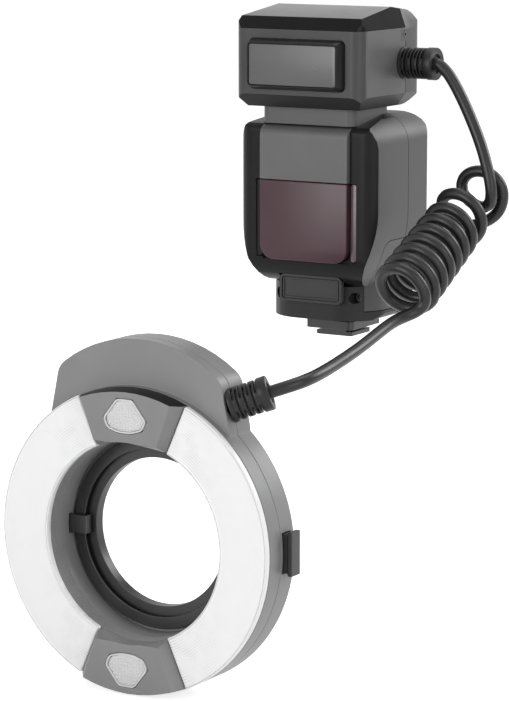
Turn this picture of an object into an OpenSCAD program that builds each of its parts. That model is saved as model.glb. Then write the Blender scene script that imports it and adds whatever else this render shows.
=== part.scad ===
// Macro ring flash: a control unit on a hot-shoe foot, joined by a coiled cord to a ring head.
// Millimetres. Origin at the middle of the shoe plate's underside, +Z up, the flash faces -Y.

/* [Shoe foot] */
// Width of the plate that slides into a hot shoe
shoe_w = 18.6; // [18:0.1:18.7]
// Length of the shoe plate
shoe_l = 18; // [16:0.5:18.5]
// Thickness of the shoe plate
shoe_t = 2; // [1.8:0.1:2.1]
// Width of the rail above the plate
rail_w = 12.4; // [11:0.1:12.5]
// Height of the rail above the plate
rail_h = 1.6; // [1.5:0.1:2.4]
// Width of the foot block
foot_w = 24.4; // [22:0.2:28]
// Depth of the foot block
foot_l = 28.4; // [24:0.2:32]
// Height of the foot block
foot_h = 4; // [3:0.1:5]
// Diameter of the post that joins the foot to the body
post_d = 15; // [13:0.5:17]
// Diameter of the lock ring
lock_d = 29; // [26:0.5:33]
// Height of the lock ring
lock_h = 1.8; // [1.4:0.1:3]
// Diameter of the lock pin
lock_pin_d = 2.4; // [1.6:0.1:3]
// Distance of the lock pin in front of the foot's middle
lock_pin_y = 6.9; // [6.6:0.1:7.4]
// Diameter of one shoe contact
contact_d = 1.8; // [1.2:0.1:2.2]
// Diameter of the plate that holds the post inside the body
retainer_d = 22; // [20:0.5:26]
// Thickness of that plate
retainer_t = 1.2; // [1:0.1:1.6]

/* [Body] */
// Width of the body
body_w = 70; // [66:0.5:76]
// Front face of the body's pillars
body_front = -35.5; // [-37:0.1:-34.5]
// Rear face of the body
body_rear = 18; // [17.8:0.1:20]
// Lowest point of the front shell
body_low = 26; // [25:0.1:27]
// Highest point of the body
body_top = 103; // [102:0.1:105]
// Front edge of the body's sloping top
brow_z = 98.7; // [98:0.1:99.4]
// Radius of the shoulders
shoulder_r = 14; // [8:0.5:18]
// Radius of the arcs that draw the sides in
side_arc_r = 60; // [56:1:70]
// Height where the sides begin to draw in
side_arc_z = 60; // [58:0.5:64]
// Radius of the upright front corners
pillar_r = 8; // [4:0.5:10]
// Angle of the crease between the pillars and the sides
pillar_crease = 30; // [5:1:40]
// Radius under the front
chin_r = 14; // [10:0.5:16]
// Wall of the body
wall = 1.6; // [1.4:0.1:1.9]
// Seam between front and rear shells
seam_y = -3; // [-5:0.1:0]

/* [Base] */
// Underside of the base
base_low = 10; // [9.7:0.1:10.6]
// Width of the base
base_w = 56; // [55.6:0.1:57]
// Front face of the base
base_front = -28.5; // [-29:0.1:-28]
// Radius of the base's front corners
base_r = 20; // [18:0.5:20.5]

/* [Front panel and window] */
// Width of the panel and the red window
panel_w = 45; // [42:0.5:46]
// Front face of the panel and the red window
panel_front = -38; // [-39:0.1:-37]
// Lower edge of the red window
window_low = 37.5; // [37:0.1:39]
// Line between window and panel
panel_split = 73.6; // [68:0.2:78]
// Depth of the panel and window
panel_depth = 4.7; // [4.2:0.1:5.2]
// Width of the open strip beside the window
strip_w = 3.5; // [2:0.1:4]
// Width of the front plate
plate_w = 32; // [26:0.5:32]
// Height of the front plate
plate_h = 12.4; // [10:0.2:12.4]
// Lower edge of the front plate
plate_low = 17.9; // [17.4:0.1:18.2]
// Depth of the front plate
plate_depth = 2.5; // [1.5:0.1:3]

/* [Batteries] */
// Length of one cell
cell_l = 50.5; // [49.2:0.1:50.5]
// Diameter of one cell
cell_d = 14.3; // [13.5:0.1:14.4]
// Space between two cells
cell_gap = 0.3; // [0.2:0.1:0.4]
// Underside of the battery tray
tray_low = 15; // [14.8:0.1:15.2]
// Wall of the battery tray
tray_wall = 0.8; // [0.6:0.1:0.9]
// Thickness of the contact strips
strip_t = 0.3; // [0.2:0.05:0.3]
// Lower edge of the battery door's opening
door_low = 14; // [13.9:0.1:14.4]
// Upper edge of the battery door's opening
door_top = 47; // [46.9:0.1:48]
// Front edge of the battery door's opening
door_front = -22; // [-22.6:0.1:-21.4]
// Rear edge of the battery door's opening
door_rear = 14.2; // [13.8:0.1:14.6]
// Diameter of the door's hinge pin
hinge_pin_d = 1.6; // [1.4:0.1:1.8]
// Length of the door's hinge
hinge_l = 12; // [10:0.5:13]

/* [Rear controls] */
// Width of the display window
lcd_w = 44; // [36:1:46]
// Height of the display window
lcd_h = 22; // [18:0.5:23]
// Middle of the display's height
lcd_z = 83; // [82:0.2:84]
// Width of one key
key_w = 9; // [6:0.5:10]
// Height of one key
key_h = 5; // [3:0.5:5.5]
// Spacing of the keys
key_pitch = 12; // [11:0.5:13]
// Height of the key row's middle
key_z = 66.5; // [66:0.1:67]
// Diameter of the select dial
dial_d = 21; // [16:0.5:22]
// Height of the dial's middle
dial_z = 52.8; // [52.6:0.1:53]
// Diameter of the set button
set_d = 7.8; // [6:0.2:8.4]
// Distance of the switch and the test button from the middle
side_control_x = 22; // [20:0.2:23]
// Diameter of the test button
test_d = 6; // [5:0.2:7]
// Travel of the power switch
switch_travel = 4; // [3:0.2:4.4]
// Travel of the keys
key_travel = 0.6; // [0.4:0.1:0.8]

/* [Neck and head] */
// Width of the neck
neck_w = 47.3; // [40:0.1:50]
// Front of the neck
neck_front = -34.7; // [-35.2:0.1:-33]
// Depth of the neck
neck_l = 34.7; // [30:0.1:38]
// Underside of the head
head_low = 106.5; // [105.5:0.1:107.5]
// Highest line of the head
head_top = 151; // [148:0.1:154]
// How far the head's top rises from its front to its middle
head_rise = 4; // [1:0.1:5]
// Depth of the head's round rear
head_round = 14; // [12:0.5:17]
// Width of the head
head_w = 65.4; // [60:0.2:68]
// Front face of the head's case
head_front = -43.7; // [-46:0.1:-42]
// Rearmost line of the head
head_rear = 15.4; // [13:0.1:17]
// Height of the top chamfer's lower edge
band_z = 141.5; // [139:0.1:142.5]
// Height of the lower chamfer's upper edge
jaw_z = 112.3; // [111:0.1:114]
// Seam between the head's shells
head_seam = -2.5; // [-5:0.1:0]
// Width of the head window at its base
glass_w = 49.5; // [42:0.5:54]
// Height of the head window at its base
glass_h = 23.4; // [20:0.2:26]
// Height of the head window's middle
glass_z = 126.1; // [125:0.1:127.5]
// How far the head window stands out
glass_out = 5; // [3:0.1:6]
// Draft of the head window's sides
glass_draft = 1.8; // [1:0.1:2.5]
// Diameter of the storage capacitor
capacitor_d = 26; // [20:0.5:28]
// Length of the storage capacitor
capacitor_l = 48; // [40:0.5:54]

/* [Ring head] */
// Height of the ring's middle
ring_z = -63.3; // [-70:0.1:-62]
// Rear face of the ring
ring_back = -157; // [-165:0.1:-150]
// Outer diameter of the ring
ring_d = 130; // [128:0.5:134]
// Diameter of the ring's bore
bore_d = 85; // [84.6:0.2:86]
// Depth of the ring's rim
ring_depth = 23; // [22.6:0.1:24]
// Depth of the rear case
rear_case_depth = 10.7; // [10.5:0.1:11]
// Depth to the arch's front face
arch_depth = 17; // [16:0.1:17.4]
// How far the lamp blocks stand in front of the diffusers
lamp_out = 4.5; // [3:0.1:6]
// Thickness of the diffusers
diffuser_t = 3; // [2.4:0.1:3.2]
// Half of the angle that a lamp block takes
lamp_half = 23.5; // [22:0.1:24]
// Top of the arch above the ring's middle
arch_top = 84.5; // [82:0.1:88]
// Radius of the arch's top
arch_r = 62; // [58:0.5:70]
// Half width of the arch where it leaves the rim
arch_foot = 44; // [42.5:0.1:45]
// Half width of the arch at its shoulders
arch_shoulder = 40.6; // [39:0.1:41.5]
// Radius of the arch's corners
arch_corner_r = 9; // [6:0.5:12]
// Wall of the ring's cases
case_wall = 2; // [1.6:0.1:2.2]
// Height of the release buttons
release_h = 18.5; // [16:0.5:22]
// Travel of the release buttons
release_travel = 1.5; // [1.2:0.1:1.6]
// Diameter of a flash tube
tube_d = 5; // [3:0.5:6]
// Shift of the lamps outwards from the middle of the diffuser band
lamp_shift = 0.25; // [-0.2:0.05:0.6]

/* [Lens adapter] */
// Diameter of the adapter's male thread
thread_d = 67; // [66.6:0.1:67]
// Length of the adapter's male thread
thread_l = 4; // [3:0.1:5]
// Diameter of the adapter's flange
adapter_d = 82.2; // [81:0.1:82.4]
// Thickness of the adapter's flange
adapter_t = 4; // [3.8:0.1:4.2]

/* [Cord] */
// Diameter of the cord
cord_d = 5.4; // [4:0.1:5.6]
// Diameter of the coil's last full turn along the cord's middle
coil_d = 22; // [21:0.1:23]
// How much the coil's radius grows with each turn
coil_flare = 0.14; // [0:0.02:0.2]
// Spacing of the coil's tight turns
coil_pitch = 7.9; // [7.4:0.1:8.4]
// Extra length in the coil's first, looser turns
coil_ease = 5.4; // [3:0.1:6]
// Turns in the coil
coil_turns = 8; // [6:1:8]
// Diameter of the cord glands
gland_d = 14.6; // [12:0.2:15]
// Length of the cord glands
gland_l = 16.4; // [14:0.2:18]
// Ribs on a gland
gland_ribs = 6; // [4:1:7]

/* [Clearances] */
// Gap round pieces that move
run_gap = 0.3; // [0.25:0.05:0.35]
// Radial gap of a pin or shaft in its hole
pin_gap = 0.06; // [0.03:0.01:0.1]
// Gap round fixed trim in its recess
trim_gap = 0.2; // [0.1:0.05:0.25]

/* [Hidden] */
$fn = 48;
far = 200;
half_w = body_w / 2;
// The foot's stack, from the shoe plate up
block_low = shoe_t + rail_h;
block_top = block_low + foot_h;
lock_low = block_top + 0.2;
floor_top = base_low + wall + 0.4;
contact_spots = [[0, -2.4], [-4.2, -4.4], [4.2, -4.4], [-4.2, 3], [4.2, 3]];
foot_screw_r = 4.8;
foot_screw_d = 2.2;
// The base reaches into the body's sides, and its front ledge lies under the front shell
base_top = 33;
ledge_gap = 0.3;
ledge_top = body_low - ledge_gap;
base_edge_r = 4;
rear_corner_r = 4;
brow_r = 4;
crown_y = -5;
crown_r = 8;
step_corner_r = 5;
// The seat behind the panel and the window
seat_y = panel_front + panel_depth;
seat_t = 1.6;
panel_roll_r = panel_depth - 0.2;
window_corner_r = 7;
lamp_hole_d = 14;
af_lamp_d = 18;
af_lamp_l = 9;
af_lamp_z = (window_low + panel_split) / 2;
plate_step = 1;
// Cells lie along X in two rows of two, loaded through the door on the right
cell_pitch = cell_d + cell_gap;
cell_low_z = tray_low + tray_wall + cell_gap + cell_d / 2;
cell_rear_y = body_rear - wall - 0.1 - tray_wall - cell_gap - cell_d / 2;
cell_spots = [for (i = [0, 1], j = [0, 1]) [cell_rear_y - i * cell_pitch, cell_low_z + j * cell_pitch]];
contact_pad_d = 7;
tray_half = min(base_w / 2, body_half(cell_low_z + cell_pitch - contact_pad_d / 2));
tray_left = -tray_half + wall + 0.1;
cell_left = tray_left + tray_wall + strip_t;
cell_right = cell_left + cell_l;
door_pad_x = cell_right + 0.1 + strip_t;
door_skin = 1.5;
hinge_x = base_w / 2 + 0.4;
hinge_z = door_low - 1;
knuckle_r = 1.5;
hinge_mid_y = 7;
knuckle_l = hinge_l - 2 * 2.6;
knuckle_room = (hinge_l - knuckle_l) / 2 + run_gap;
screw_x = 19.6;
screw_z = 20.5;
screw_seat_y = -18.5;
// Depths behind the rear wall
inner_rear = body_rear - wall;
board_y = inner_rear - 6;
board_t = 1.6;
board_low = 48;
board_top = 95;
board_edge = 5.5;
transformer_w = 24;
transformer_t = 12;
transformer_h = 20;
transformer_low = 56;
board_rear = board_y + board_t;
switch_t = 1.2;
flange_y = inner_rear - run_gap - 1.1;
key_xs = [for (i = [0:3]) (i - 1.5) * key_pitch];
post_spots = [for (x = [-1, 1], z = [58.5, 92.5]) [x * (half_w - 8.5), z]];
hub_d = set_d + 4.4;
encoder_rear = inner_rear - 2.1;
knob_w = 8;
stem_w = 3.4;
// The head's outlines, side and front
head_side = concat(
    [[head_front, jaw_z], [head_front, band_z], [head_front + 4, head_top - head_rise], [-10, head_top]],
    [for (a = [90:-12:-90]) [head_rear - head_round + head_round * cos(a),
        (head_top - 1.5 + head_low) / 2 + (head_top - 1.5 - head_low) / 2 * sin(a)]],
    [[head_front + 5.7, head_low]]);
head_front_r = 6;
head_rear_r = 9;
head_face = [[-head_w / 2, jaw_z], [-head_w / 2, band_z], [-head_w / 2 + 3.5, head_top],
    [head_w / 2 - 3.5, head_top], [head_w / 2, band_z], [head_w / 2, jaw_z],
    [head_w / 2 - 4.2, head_low], [-head_w / 2 + 4.2, head_low]];
head_wall = 2;
head_screw_y = -3;
head_screw_z = band_z - 2.9;
boss_reach = 4.6;
boss_half = 2.9;
gland_y = -3.8;
gland_z = 125.8;
gland_neck_d = 9;
ring_neck_l = 3.8;
ring_neck_room = 0.2;
// The ring's own frame has its middle at the axis and its depth towards the front
ring_r = ring_d / 2;
bore_r = bore_d / 2;
case_top = ring_depth - diffuser_t - 0.2;
sleeve_t = 1.5;
socket_r = adapter_d / 2 + 0.1;
board_z = 7.6;
ring_board_t = 1.6;
ring_board_r0 = bore_r + sleeve_t + 1;
ring_board_r1 = ring_r - 7;
reflector_z = board_z + ring_board_t;
reflector_r0 = bore_r + sleeve_t + 2;
reflector_r1 = ring_r - case_wall - 1;
reflector_half = 90 - lamp_half - 2.5;
reflector_t = 0.8;
diffuser_half = 90 - lamp_half - 0.2;
tube_r = (reflector_r0 + reflector_r1) / 2;
tube_z = reflector_z + 5;
lamp_r = (bore_r + ring_r) / 2 + lamp_shift;
lens_edge = 4.25;
lens_half_h = (ring_r - bore_r) / 2 - lens_edge;
led_half_w = 7;
led_half_h = lens_half_h - 2;
lamp_low = case_top;
lamp_top = ring_depth + lamp_out;
lamp_wall = 1.5;
lamp_face_half = lamp_half - 3.5;
lens_low = lamp_top - 2.2;
lens_top = lamp_top + 0.4;
// The release buttons: pad outside the rim, tongue in front of the adapter, claw in its groove
pad_x = ring_r + release_travel + 0.4;
pad_t = 2.1;
pad_low = 2.4;
pad_high = 9.2;
stem_half = release_h / 2 - 1;
stem_low = 3;
stem_high = board_z + ring_board_t - run_gap;
stem_x = ring_board_r1 + release_travel + 0.5;
tongue_half = 4;
tongue_low = adapter_t + 0.3 + 0.5;
tongue_t = 1.6;
groove_r = 37.7;
lip_r = 36;
claw_r = groove_r - 0.4;
claw_t = 2;
claw_low = 1.8;
spring_d = 3.6;
spring_at = [6.6, 5.6];
spring_stop_x = ring_r - 12;
adapter_low = 0.3;
thread_wall = 1.6;
ring_screw_r = ring_r - 5.5;
ring_screw_d = 5;
ring_screw_at = [45, 135, 225, 315];
// The ring gland leaves the arch's right side, backwards and upwards
ring_gland_at = [41.6, -167.7, -3.4];
ring_gland_dir = [0.85, 0.41, 0.335];

// Outlines
function arc(x, y, r, a0, a1, n = 6) =
    [for (i = [0:n]) [x + r * cos(a0 + (a1 - a0) * i / n), y + r * sin(a0 + (a1 - a0) * i / n)]];

function flipped(points) = [for (i = [len(points) - 1:-1:0]) [-points[i][0], points[i][1]]];

function unit(v) = v / norm(v);

// Where the line through a along u meets the line through b along v
function crossing(a, u, b, v) =
    a + u * ((b - a)[0] * v[1] - (b - a)[1] * v[0]) / (u[0] * v[1] - u[1] * v[0]);

// A clockwise convex outline with every side moved in by g
function drawn_in(points, g) = [for (i = [0:len(points) - 1])
    let (a = points[(i + len(points) - 1) % len(points)], b = points[i], c = points[(i + 1) % len(points)],
        u = unit(b - a), v = unit(c - b))
    crossing(b + g * [u[1], -u[0]], u, b + g * [v[1], -v[0]], v)];

// Half the body's width at a height below its widest place
function body_half(z) = half_w - side_arc_r + sqrt(pow(side_arc_r, 2) - pow(max(0, side_arc_z - z), 2));

function body_face(g) = let (
    low = -asin((side_arc_z - body_low - g) / (side_arc_r - g)),
    right = concat(arc(half_w - side_arc_r, side_arc_z, side_arc_r - g, low, 0, 8),
        arc(half_w - shoulder_r, body_top - shoulder_r, shoulder_r - g, 0, 90)))
    concat(right, flipped(right));

function body_side(g) = concat(
    [[body_rear - g, body_low + g]],
    arc(body_rear - crown_r, body_top - crown_r, crown_r - g, 0, 90),
    [[crown_y, body_top - g]],
    arc(body_front + brow_r, brow_z - brow_r, brow_r - g, 90, 180, 4),
    arc(body_front + chin_r, body_low + chin_r, chin_r - g, 180, 270));

function body_plan(g) = let (
    middle = half_w - pillar_r * cos(pillar_crease),
    stop = acos((half_w - g - middle) / (pillar_r - g)),
    right = concat(
    arc(middle, body_front + pillar_r, pillar_r - g, 270, 360 - stop),
    arc(half_w - rear_corner_r, body_rear - rear_corner_r, rear_corner_r - g, 0, 90, 4)))
    concat(right, flipped(right));

function base_plan(g) = let (right = concat(
    arc(base_w / 2 - base_r, base_front + base_r, base_r - g, 270, 360, 8),
    arc(base_w / 2 - rear_corner_r, body_rear - rear_corner_r, rear_corner_r - g, 0, 90, 4)))
    concat(right, flipped(right));

function base_face(g) = let (right = concat(
    arc(base_w / 2 - base_edge_r, base_low + base_edge_r, base_edge_r - g, 270, 360, 4),
    [[base_w / 2 - g, base_top]]))
    concat(right, flipped(right));

function head_plan(g) = let (right = concat(
    arc(head_w / 2 - head_front_r, head_front + head_front_r, head_front_r - g, 270, 360),
    arc(head_w / 2 - head_rear_r, head_rear - head_rear_r, head_rear_r - g, 0, 90)))
    concat(right, flipped(right));

// The corner's middle lies its radius inside the leaning side and inside the top's arc
function arch_outline(g) = let (
    y0 = arch_top - arch_r, lean = atan2(arch_foot - arch_shoulder, 66 - 49.3),
    out = [cos(lean), sin(lean)], up = [-sin(lean), cos(lean)],
    off = out * [arch_foot, 49.3 - y0] - arch_corner_r,
    middle = [0, y0] + out * off + up * sqrt(pow(arch_r - arch_corner_r, 2) - off * off),
    turn = atan2(middle[1] - y0, middle[0]),
    right = concat([[arch_foot - g, 40], [arch_foot - g, 49.3]],
        arc(middle[0], middle[1], arch_corner_r - g, lean, turn, 4),
        arc(0, y0, arch_r - g, turn + (90 - turn) / 7, 90)))
    concat(right, flipped(right));

function lens_outline(g) = let (s = lens_half_h / 7) drawn_in([
    [-10.5, -1.5 * s], [-3.8, 7 * s], [3.8, 7 * s], [10.5, -1.5 * s], [8.5, -5.7 * s],
    [3, -7.3 * s], [-3, -7.3 * s], [-8.5, -5.7 * s]], g);

function sector(r0, r1, half, n = 8) = concat(arc(0, 0, r1, 90 - half, 90 + half, n),
    arc(0, 0, r0, 90 + half, 90 - half, n));

// Extrusions between two planes: outlines are (X, Z), (Y, Z) and (X, Y)
module span_y(y0, y1) { translate([0, y1, 0]) rotate([90, 0, 0]) linear_extrude(y1 - y0) children(); }

module span_x(x0, x1) { translate([x0, 0, 0]) rotate([90, 0, 90]) linear_extrude(x1 - x0) children(); }

module span_z(z0, z1) { translate([0, 0, z0]) linear_extrude(z1 - z0) children(); }

module rod_x(x0, x1, d, y, z) { translate([x0, y, z]) rotate([0, 90, 0]) cylinder(h = x1 - x0, d = d); }

module rod_y(y0, y1, d, x, z) { translate([x, y1, z]) rotate([90, 0, 0]) cylinder(h = y1 - y0, d = d); }

module rod_z(z0, z1, d, x = 0, y = 0) { translate([x, y, z0]) cylinder(h = z1 - z0, d = d); }

module box(low, high) { translate(low) cube(high - low); }

module soft_square(w, h, r) {
    square([w - 2 * r, h], center = true);
    square([w, h - 2 * r], center = true);
    for (x = [-1, 1], y = [-1, 1]) translate([x * (w / 2 - r), y * (h / 2 - r)]) circle(r);
}

module at_ring() { translate([0, ring_back, ring_z]) rotate([90, 0, 0]) children(); }

// Puts the Z axis along a direction
module aim(dir) {
    rotate([0, acos(dir[2] / norm(dir)), atan2(dir[1], dir[0])]) children();
}

// Body
module body_block(g) {
    intersection() {
        span_y(body_front - 1, body_rear + 1) polygon(body_face(g));
        span_x(-half_w - 1, half_w + 1) polygon(body_side(g));
        span_z(body_low - 1, body_top + 1) polygon(body_plan(g));
    }
}

module base_block(g) {
    intersection() {
        span_z(base_low - 1, base_top) polygon(base_plan(g));
        span_y(base_front - 1, body_rear + 1) polygon(base_face(g));
    }
}

// Everything behind the front shell's seam, which steps forward over the battery bay
module rear_zone(g = 0) {
    span_x(-far, far) polygon(concat(
        [[far, -far], [far, far], [seam_y + g, far], [seam_y + g, door_top - g]],
        arc(door_front + step_corner_r, door_top - step_corner_r, step_corner_r - g, 90, 180, 5),
        [[door_front + g, -far]]));
}

module neck_block(g) {
    translate([0, neck_front + neck_l / 2, 0]) span_z(brow_z - g, head_low)
        soft_square(neck_w + 2 * g, neck_l + 2 * g, 4);
}

module panel_recess(g) {
    box([-panel_w / 2 - g, body_front - 9, window_low - g], [panel_w / 2 + g, seat_y, brow_z + 1]);
    box([-panel_w / 2 - strip_w, body_front - 9, window_low + 0.6],
        [panel_w / 2 + strip_w, seat_y, panel_split]);
}

module front_shell() {
    color([0.17, 0.17, 0.18]) difference() {
        union() {
            difference() {
                body_block(0);
                body_block(wall);
            }
            intersection() {
                box([-panel_w / 2 - strip_w - 2, seat_y - 0.1, window_low - 2],
                    [panel_w / 2 + strip_w + 2, seat_y + seat_t, brow_z]);
                body_block(wall / 2);
            }
        }
        rear_zone();
        panel_recess(trim_gap);
        neck_block(trim_gap);
        rod_y(seat_y - 1, seat_y + seat_t + 1, lamp_hole_d, 0, af_lamp_z);
        box([-plate_w / 2 - trim_gap, -far, 0],
            [plate_w / 2 + trim_gap, far, plate_low + plate_h + trim_gap]);
    }
}

module rear_shell() {
    color([0.16, 0.16, 0.17]) difference() {
        union() {
            intersection() {
                body_block(0);
                rear_zone();
            }
            intersection() {
                base_block(0);
                union() {
                    rear_zone();
                    box([-far, -far, 0], [far, far, ledge_top]);
                }
            }
            for (y = [hinge_mid_y - hinge_l / 2, hinge_mid_y + hinge_l / 2 - 2.3]) {
                rod_y(y, y + 2.3, 2 * knuckle_r, hinge_x, hinge_z);
            }
        }
        difference() {
            union() {
                body_block(wall);
                intersection() {
                    base_block(wall);
                    union() {
                        box([-far, door_front + wall, floor_top], [far, far, far]);
                        box([-far, -far, floor_top], [far, far, ledge_top - wall]);
                    }
                }
            }
            for (s = post_spots) rod_y(board_rear, body_rear, 5, s[0], s[1]);
            for (s = [-1, 1]) rod_y(base_front, screw_seat_y + 3, 7.4, s * screw_x, screw_z);
        }
        neck_block(trim_gap);
        box([20, screw_seat_y + 3.4, door_low], [far, door_rear, door_top]);
        difference() {
            box([16, door_front, door_low], [far, screw_seat_y + 3.5, door_top]);
            body_block(door_skin + run_gap);
            base_block(door_skin + run_gap);
        }
        rod_y(hinge_mid_y - knuckle_l / 2 - run_gap, hinge_mid_y + knuckle_l / 2 + run_gap,
            2 * knuckle_r + 2 * run_gap, hinge_x, hinge_z);
        rod_y(hinge_mid_y - far, hinge_mid_y + far, hinge_pin_d + 0.04, hinge_x, hinge_z);
        rod_z(0, floor_top + 1, post_d + 2 * trim_gap);
        for (s = [-1, 1]) {
            rod_y(-far, screw_seat_y, 5, s * screw_x, screw_z);
            rod_y(-far, screw_seat_y + far / 40, 2.2, s * screw_x, screw_z);
        }
        rear_openings();
    }
}

// Holes of the display and the controls in the rear wall
module rear_openings() {
    span_y(inner_rear - 0.4, body_rear + 1) translate([0, lcd_z])
        soft_square(lcd_w + 2 * trim_gap, lcd_h + 2 * trim_gap, 2);
    for (x = key_xs) {
        span_y(inner_rear - 0.4, body_rear + 1) translate([x, key_z])
            soft_square(key_w + 2 * run_gap, key_h + 2 * run_gap, 1.3);
    }
    rod_y(inner_rear - 0.4, body_rear + 1, hub_d + 2 * pin_gap, 0, dial_z);
    rod_y(inner_rear - 0.4, body_rear + 1, test_d + 2 * pin_gap, -side_control_x, dial_z);
    span_y(inner_rear - 0.4, body_rear + 1) translate([side_control_x, dial_z])
        square([stem_w + switch_travel + 2 * run_gap, 3.2], center = true);
}

module front_panel() {
    color([0.2, 0.2, 0.21]) span_x(-panel_w / 2, panel_w / 2) polygon(concat(
        [[seat_y, panel_split + 0.15], [seat_y, brow_z - 0.7]],
        arc(panel_front + panel_roll_r, brow_z - 0.7 - panel_roll_r, panel_roll_r, 90, 180),
        [[panel_front, panel_split + 0.15]]));
}

module af_window() {
    color([0.28, 0.03, 0.06]) span_y(panel_front, seat_y) union() {
        translate([-panel_w / 2, window_low + window_corner_r])
            square([panel_w, panel_split - 0.15 - window_low - window_corner_r]);
        translate([-panel_w / 2 + window_corner_r, window_low])
            square([panel_w - 2 * window_corner_r, window_corner_r]);
        for (s = [-1, 1]) translate([s * (panel_w / 2 - window_corner_r), window_low + window_corner_r])
            circle(window_corner_r);
    }
}

module af_lamp() {
    color([0.7, 0.25, 0.2]) {
        rod_y(seat_y + seat_t, seat_y + seat_t + af_lamp_l, af_lamp_d, 0, af_lamp_z);
        rod_y(seat_y + 0.4, seat_y + seat_t, lamp_hole_d - 2, 0, af_lamp_z);
    }
}

module front_plate() {
    mid = plate_low + plate_h / 2;
    color([0.22, 0.22, 0.23]) difference() {
        union() {
            span_y(base_front - plate_depth + plate_step, base_front) translate([0, mid])
                soft_square(plate_w, plate_h, 1.6);
            span_y(base_front - plate_depth, base_front - plate_depth + plate_step) translate([0, mid])
                soft_square(plate_w - 2 * plate_step, plate_h - 2 * plate_step, 1.2);
        }
        span_y(base_front - plate_depth - 1, base_front - plate_depth + plate_step / 2) translate([0, mid])
            soft_square(plate_w - 5 * plate_step, plate_h - 5 * plate_step, 0.8);
    }
}

module case_screws() {
    color("silver") {
        for (s = [-1, 1]) {
            difference() {
                rod_y(screw_seat_y - 1.6, screw_seat_y, 4.2, s * screw_x, screw_z);
                rod_y(screw_seat_y - 2, screw_seat_y - 0.8, 1.6, s * screw_x, screw_z);
            }
            rod_y(screw_seat_y, screw_seat_y + 3, 2, s * screw_x, screw_z);
        }
        for (s = [-1, 1]) mirror([s < 0 ? 1 : 0, 0, 0]) {
            difference() {
                rod_x(head_w / 2 - 0.9, head_w / 2 + 0.1, 3.2, head_screw_y, head_screw_z);
                rod_x(head_w / 2 - 0.4, head_w / 2 + 1, 1.3, head_screw_y, head_screw_z);
            }
            rod_x(head_w / 2 - 5, head_w / 2 - 0.9, 1.8, head_screw_y, head_screw_z);
        }
    }
}

// Shoe foot and its lock
module shoe_foot() {
    color([0.12, 0.12, 0.13]) difference() {
        union() {
            span_z(0, shoe_t) soft_square(shoe_w, shoe_l, 0.8);
            box([-rail_w / 2, -shoe_l / 2, shoe_t], [rail_w / 2, shoe_l / 2, block_low]);
            span_z(block_low, block_top) soft_square(foot_w, foot_l, 2.5);
            rod_z(block_top, floor_top, post_d);
        }
        for (s = contact_spots) rod_z(-1, block_low + 1, contact_d, s[0], s[1]);
        rod_z(-1, block_top + 1, lock_pin_d + 2 * pin_gap, 0, -lock_pin_y);
        for (x = [-1, 1], y = [-1, 1]) rod_z(floor_top - 3.6, floor_top + 1, foot_screw_d,
            x * foot_screw_r * 0.7, y * foot_screw_r * 0.7);
    }
}

module shoe_contacts() {
    color("gold") for (s = contact_spots) rod_z(0.05, block_low + 1, contact_d, s[0], s[1]);
}

module lock_ring() {
    color([0.1, 0.1, 0.1]) difference() {
        rod_z(lock_low, lock_low + lock_h, lock_d);
        rod_z(lock_low - 1, lock_low + lock_h + 1, post_d + 2 * pin_gap);
        for (a = [0:15:345]) rotate([0, 0, a])
            rod_z(lock_low - 1, lock_low + lock_h + 1, 1.6, lock_d / 2 + 0.3, 0);
    }
}

module lock_pin() {
    color("silver") rod_z(0.2, block_top - 0.1, lock_pin_d, 0, -lock_pin_y);
}

module foot_retainer() {
    color("silver") difference() {
        rod_z(floor_top, floor_top + retainer_t, retainer_d);
        for (x = [-1, 1], y = [-1, 1]) rod_z(floor_top - 1, floor_top + retainer_t + 1, foot_screw_d,
            x * foot_screw_r * 0.7, y * foot_screw_r * 0.7);
    }
}

module foot_screws() {
    color("gray") for (x = [-1, 1], y = [-1, 1]) {
        rod_z(floor_top - 3.6, floor_top + retainer_t, foot_screw_d,
            x * foot_screw_r * 0.7, y * foot_screw_r * 0.7);
        rod_z(floor_top + retainer_t, floor_top + retainer_t + 1, 4,
            x * foot_screw_r * 0.7, y * foot_screw_r * 0.7);
    }
}

// Batteries and their door
module battery_tray() {
    y0 = cell_rear_y - cell_pitch - cell_d / 2 - cell_gap;
    y1 = cell_rear_y + cell_d / 2 + cell_gap;
    z1 = cell_low_z + cell_pitch + cell_d / 2 + cell_gap;
    color([0.25, 0.25, 0.26]) difference() {
        intersection() {
            box([tray_left, y0 - tray_wall, tray_low], [cell_right - 2, y1 + tray_wall, z1 + tray_wall]);
            union() {
                base_block(wall + 0.1);
                body_block(wall + 0.1);
            }
        }
        box([tray_left + tray_wall, y0, tray_low + tray_wall], [far, y1, z1]);
    }
}

module battery_cells() {
    color([0.75, 0.6, 0.3]) for (s = cell_spots) {
        rod_x(cell_left, cell_right - 1.2, cell_d, s[0], s[1]);
        rod_x(cell_right - 1.2, cell_right, 5.4, s[0], s[1]);
    }
}

module tray_contacts() {
    color("silver") for (s = cell_spots) 
        rod_x(cell_left - strip_t, cell_left, contact_pad_d, s[0], s[1]);
}

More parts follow.
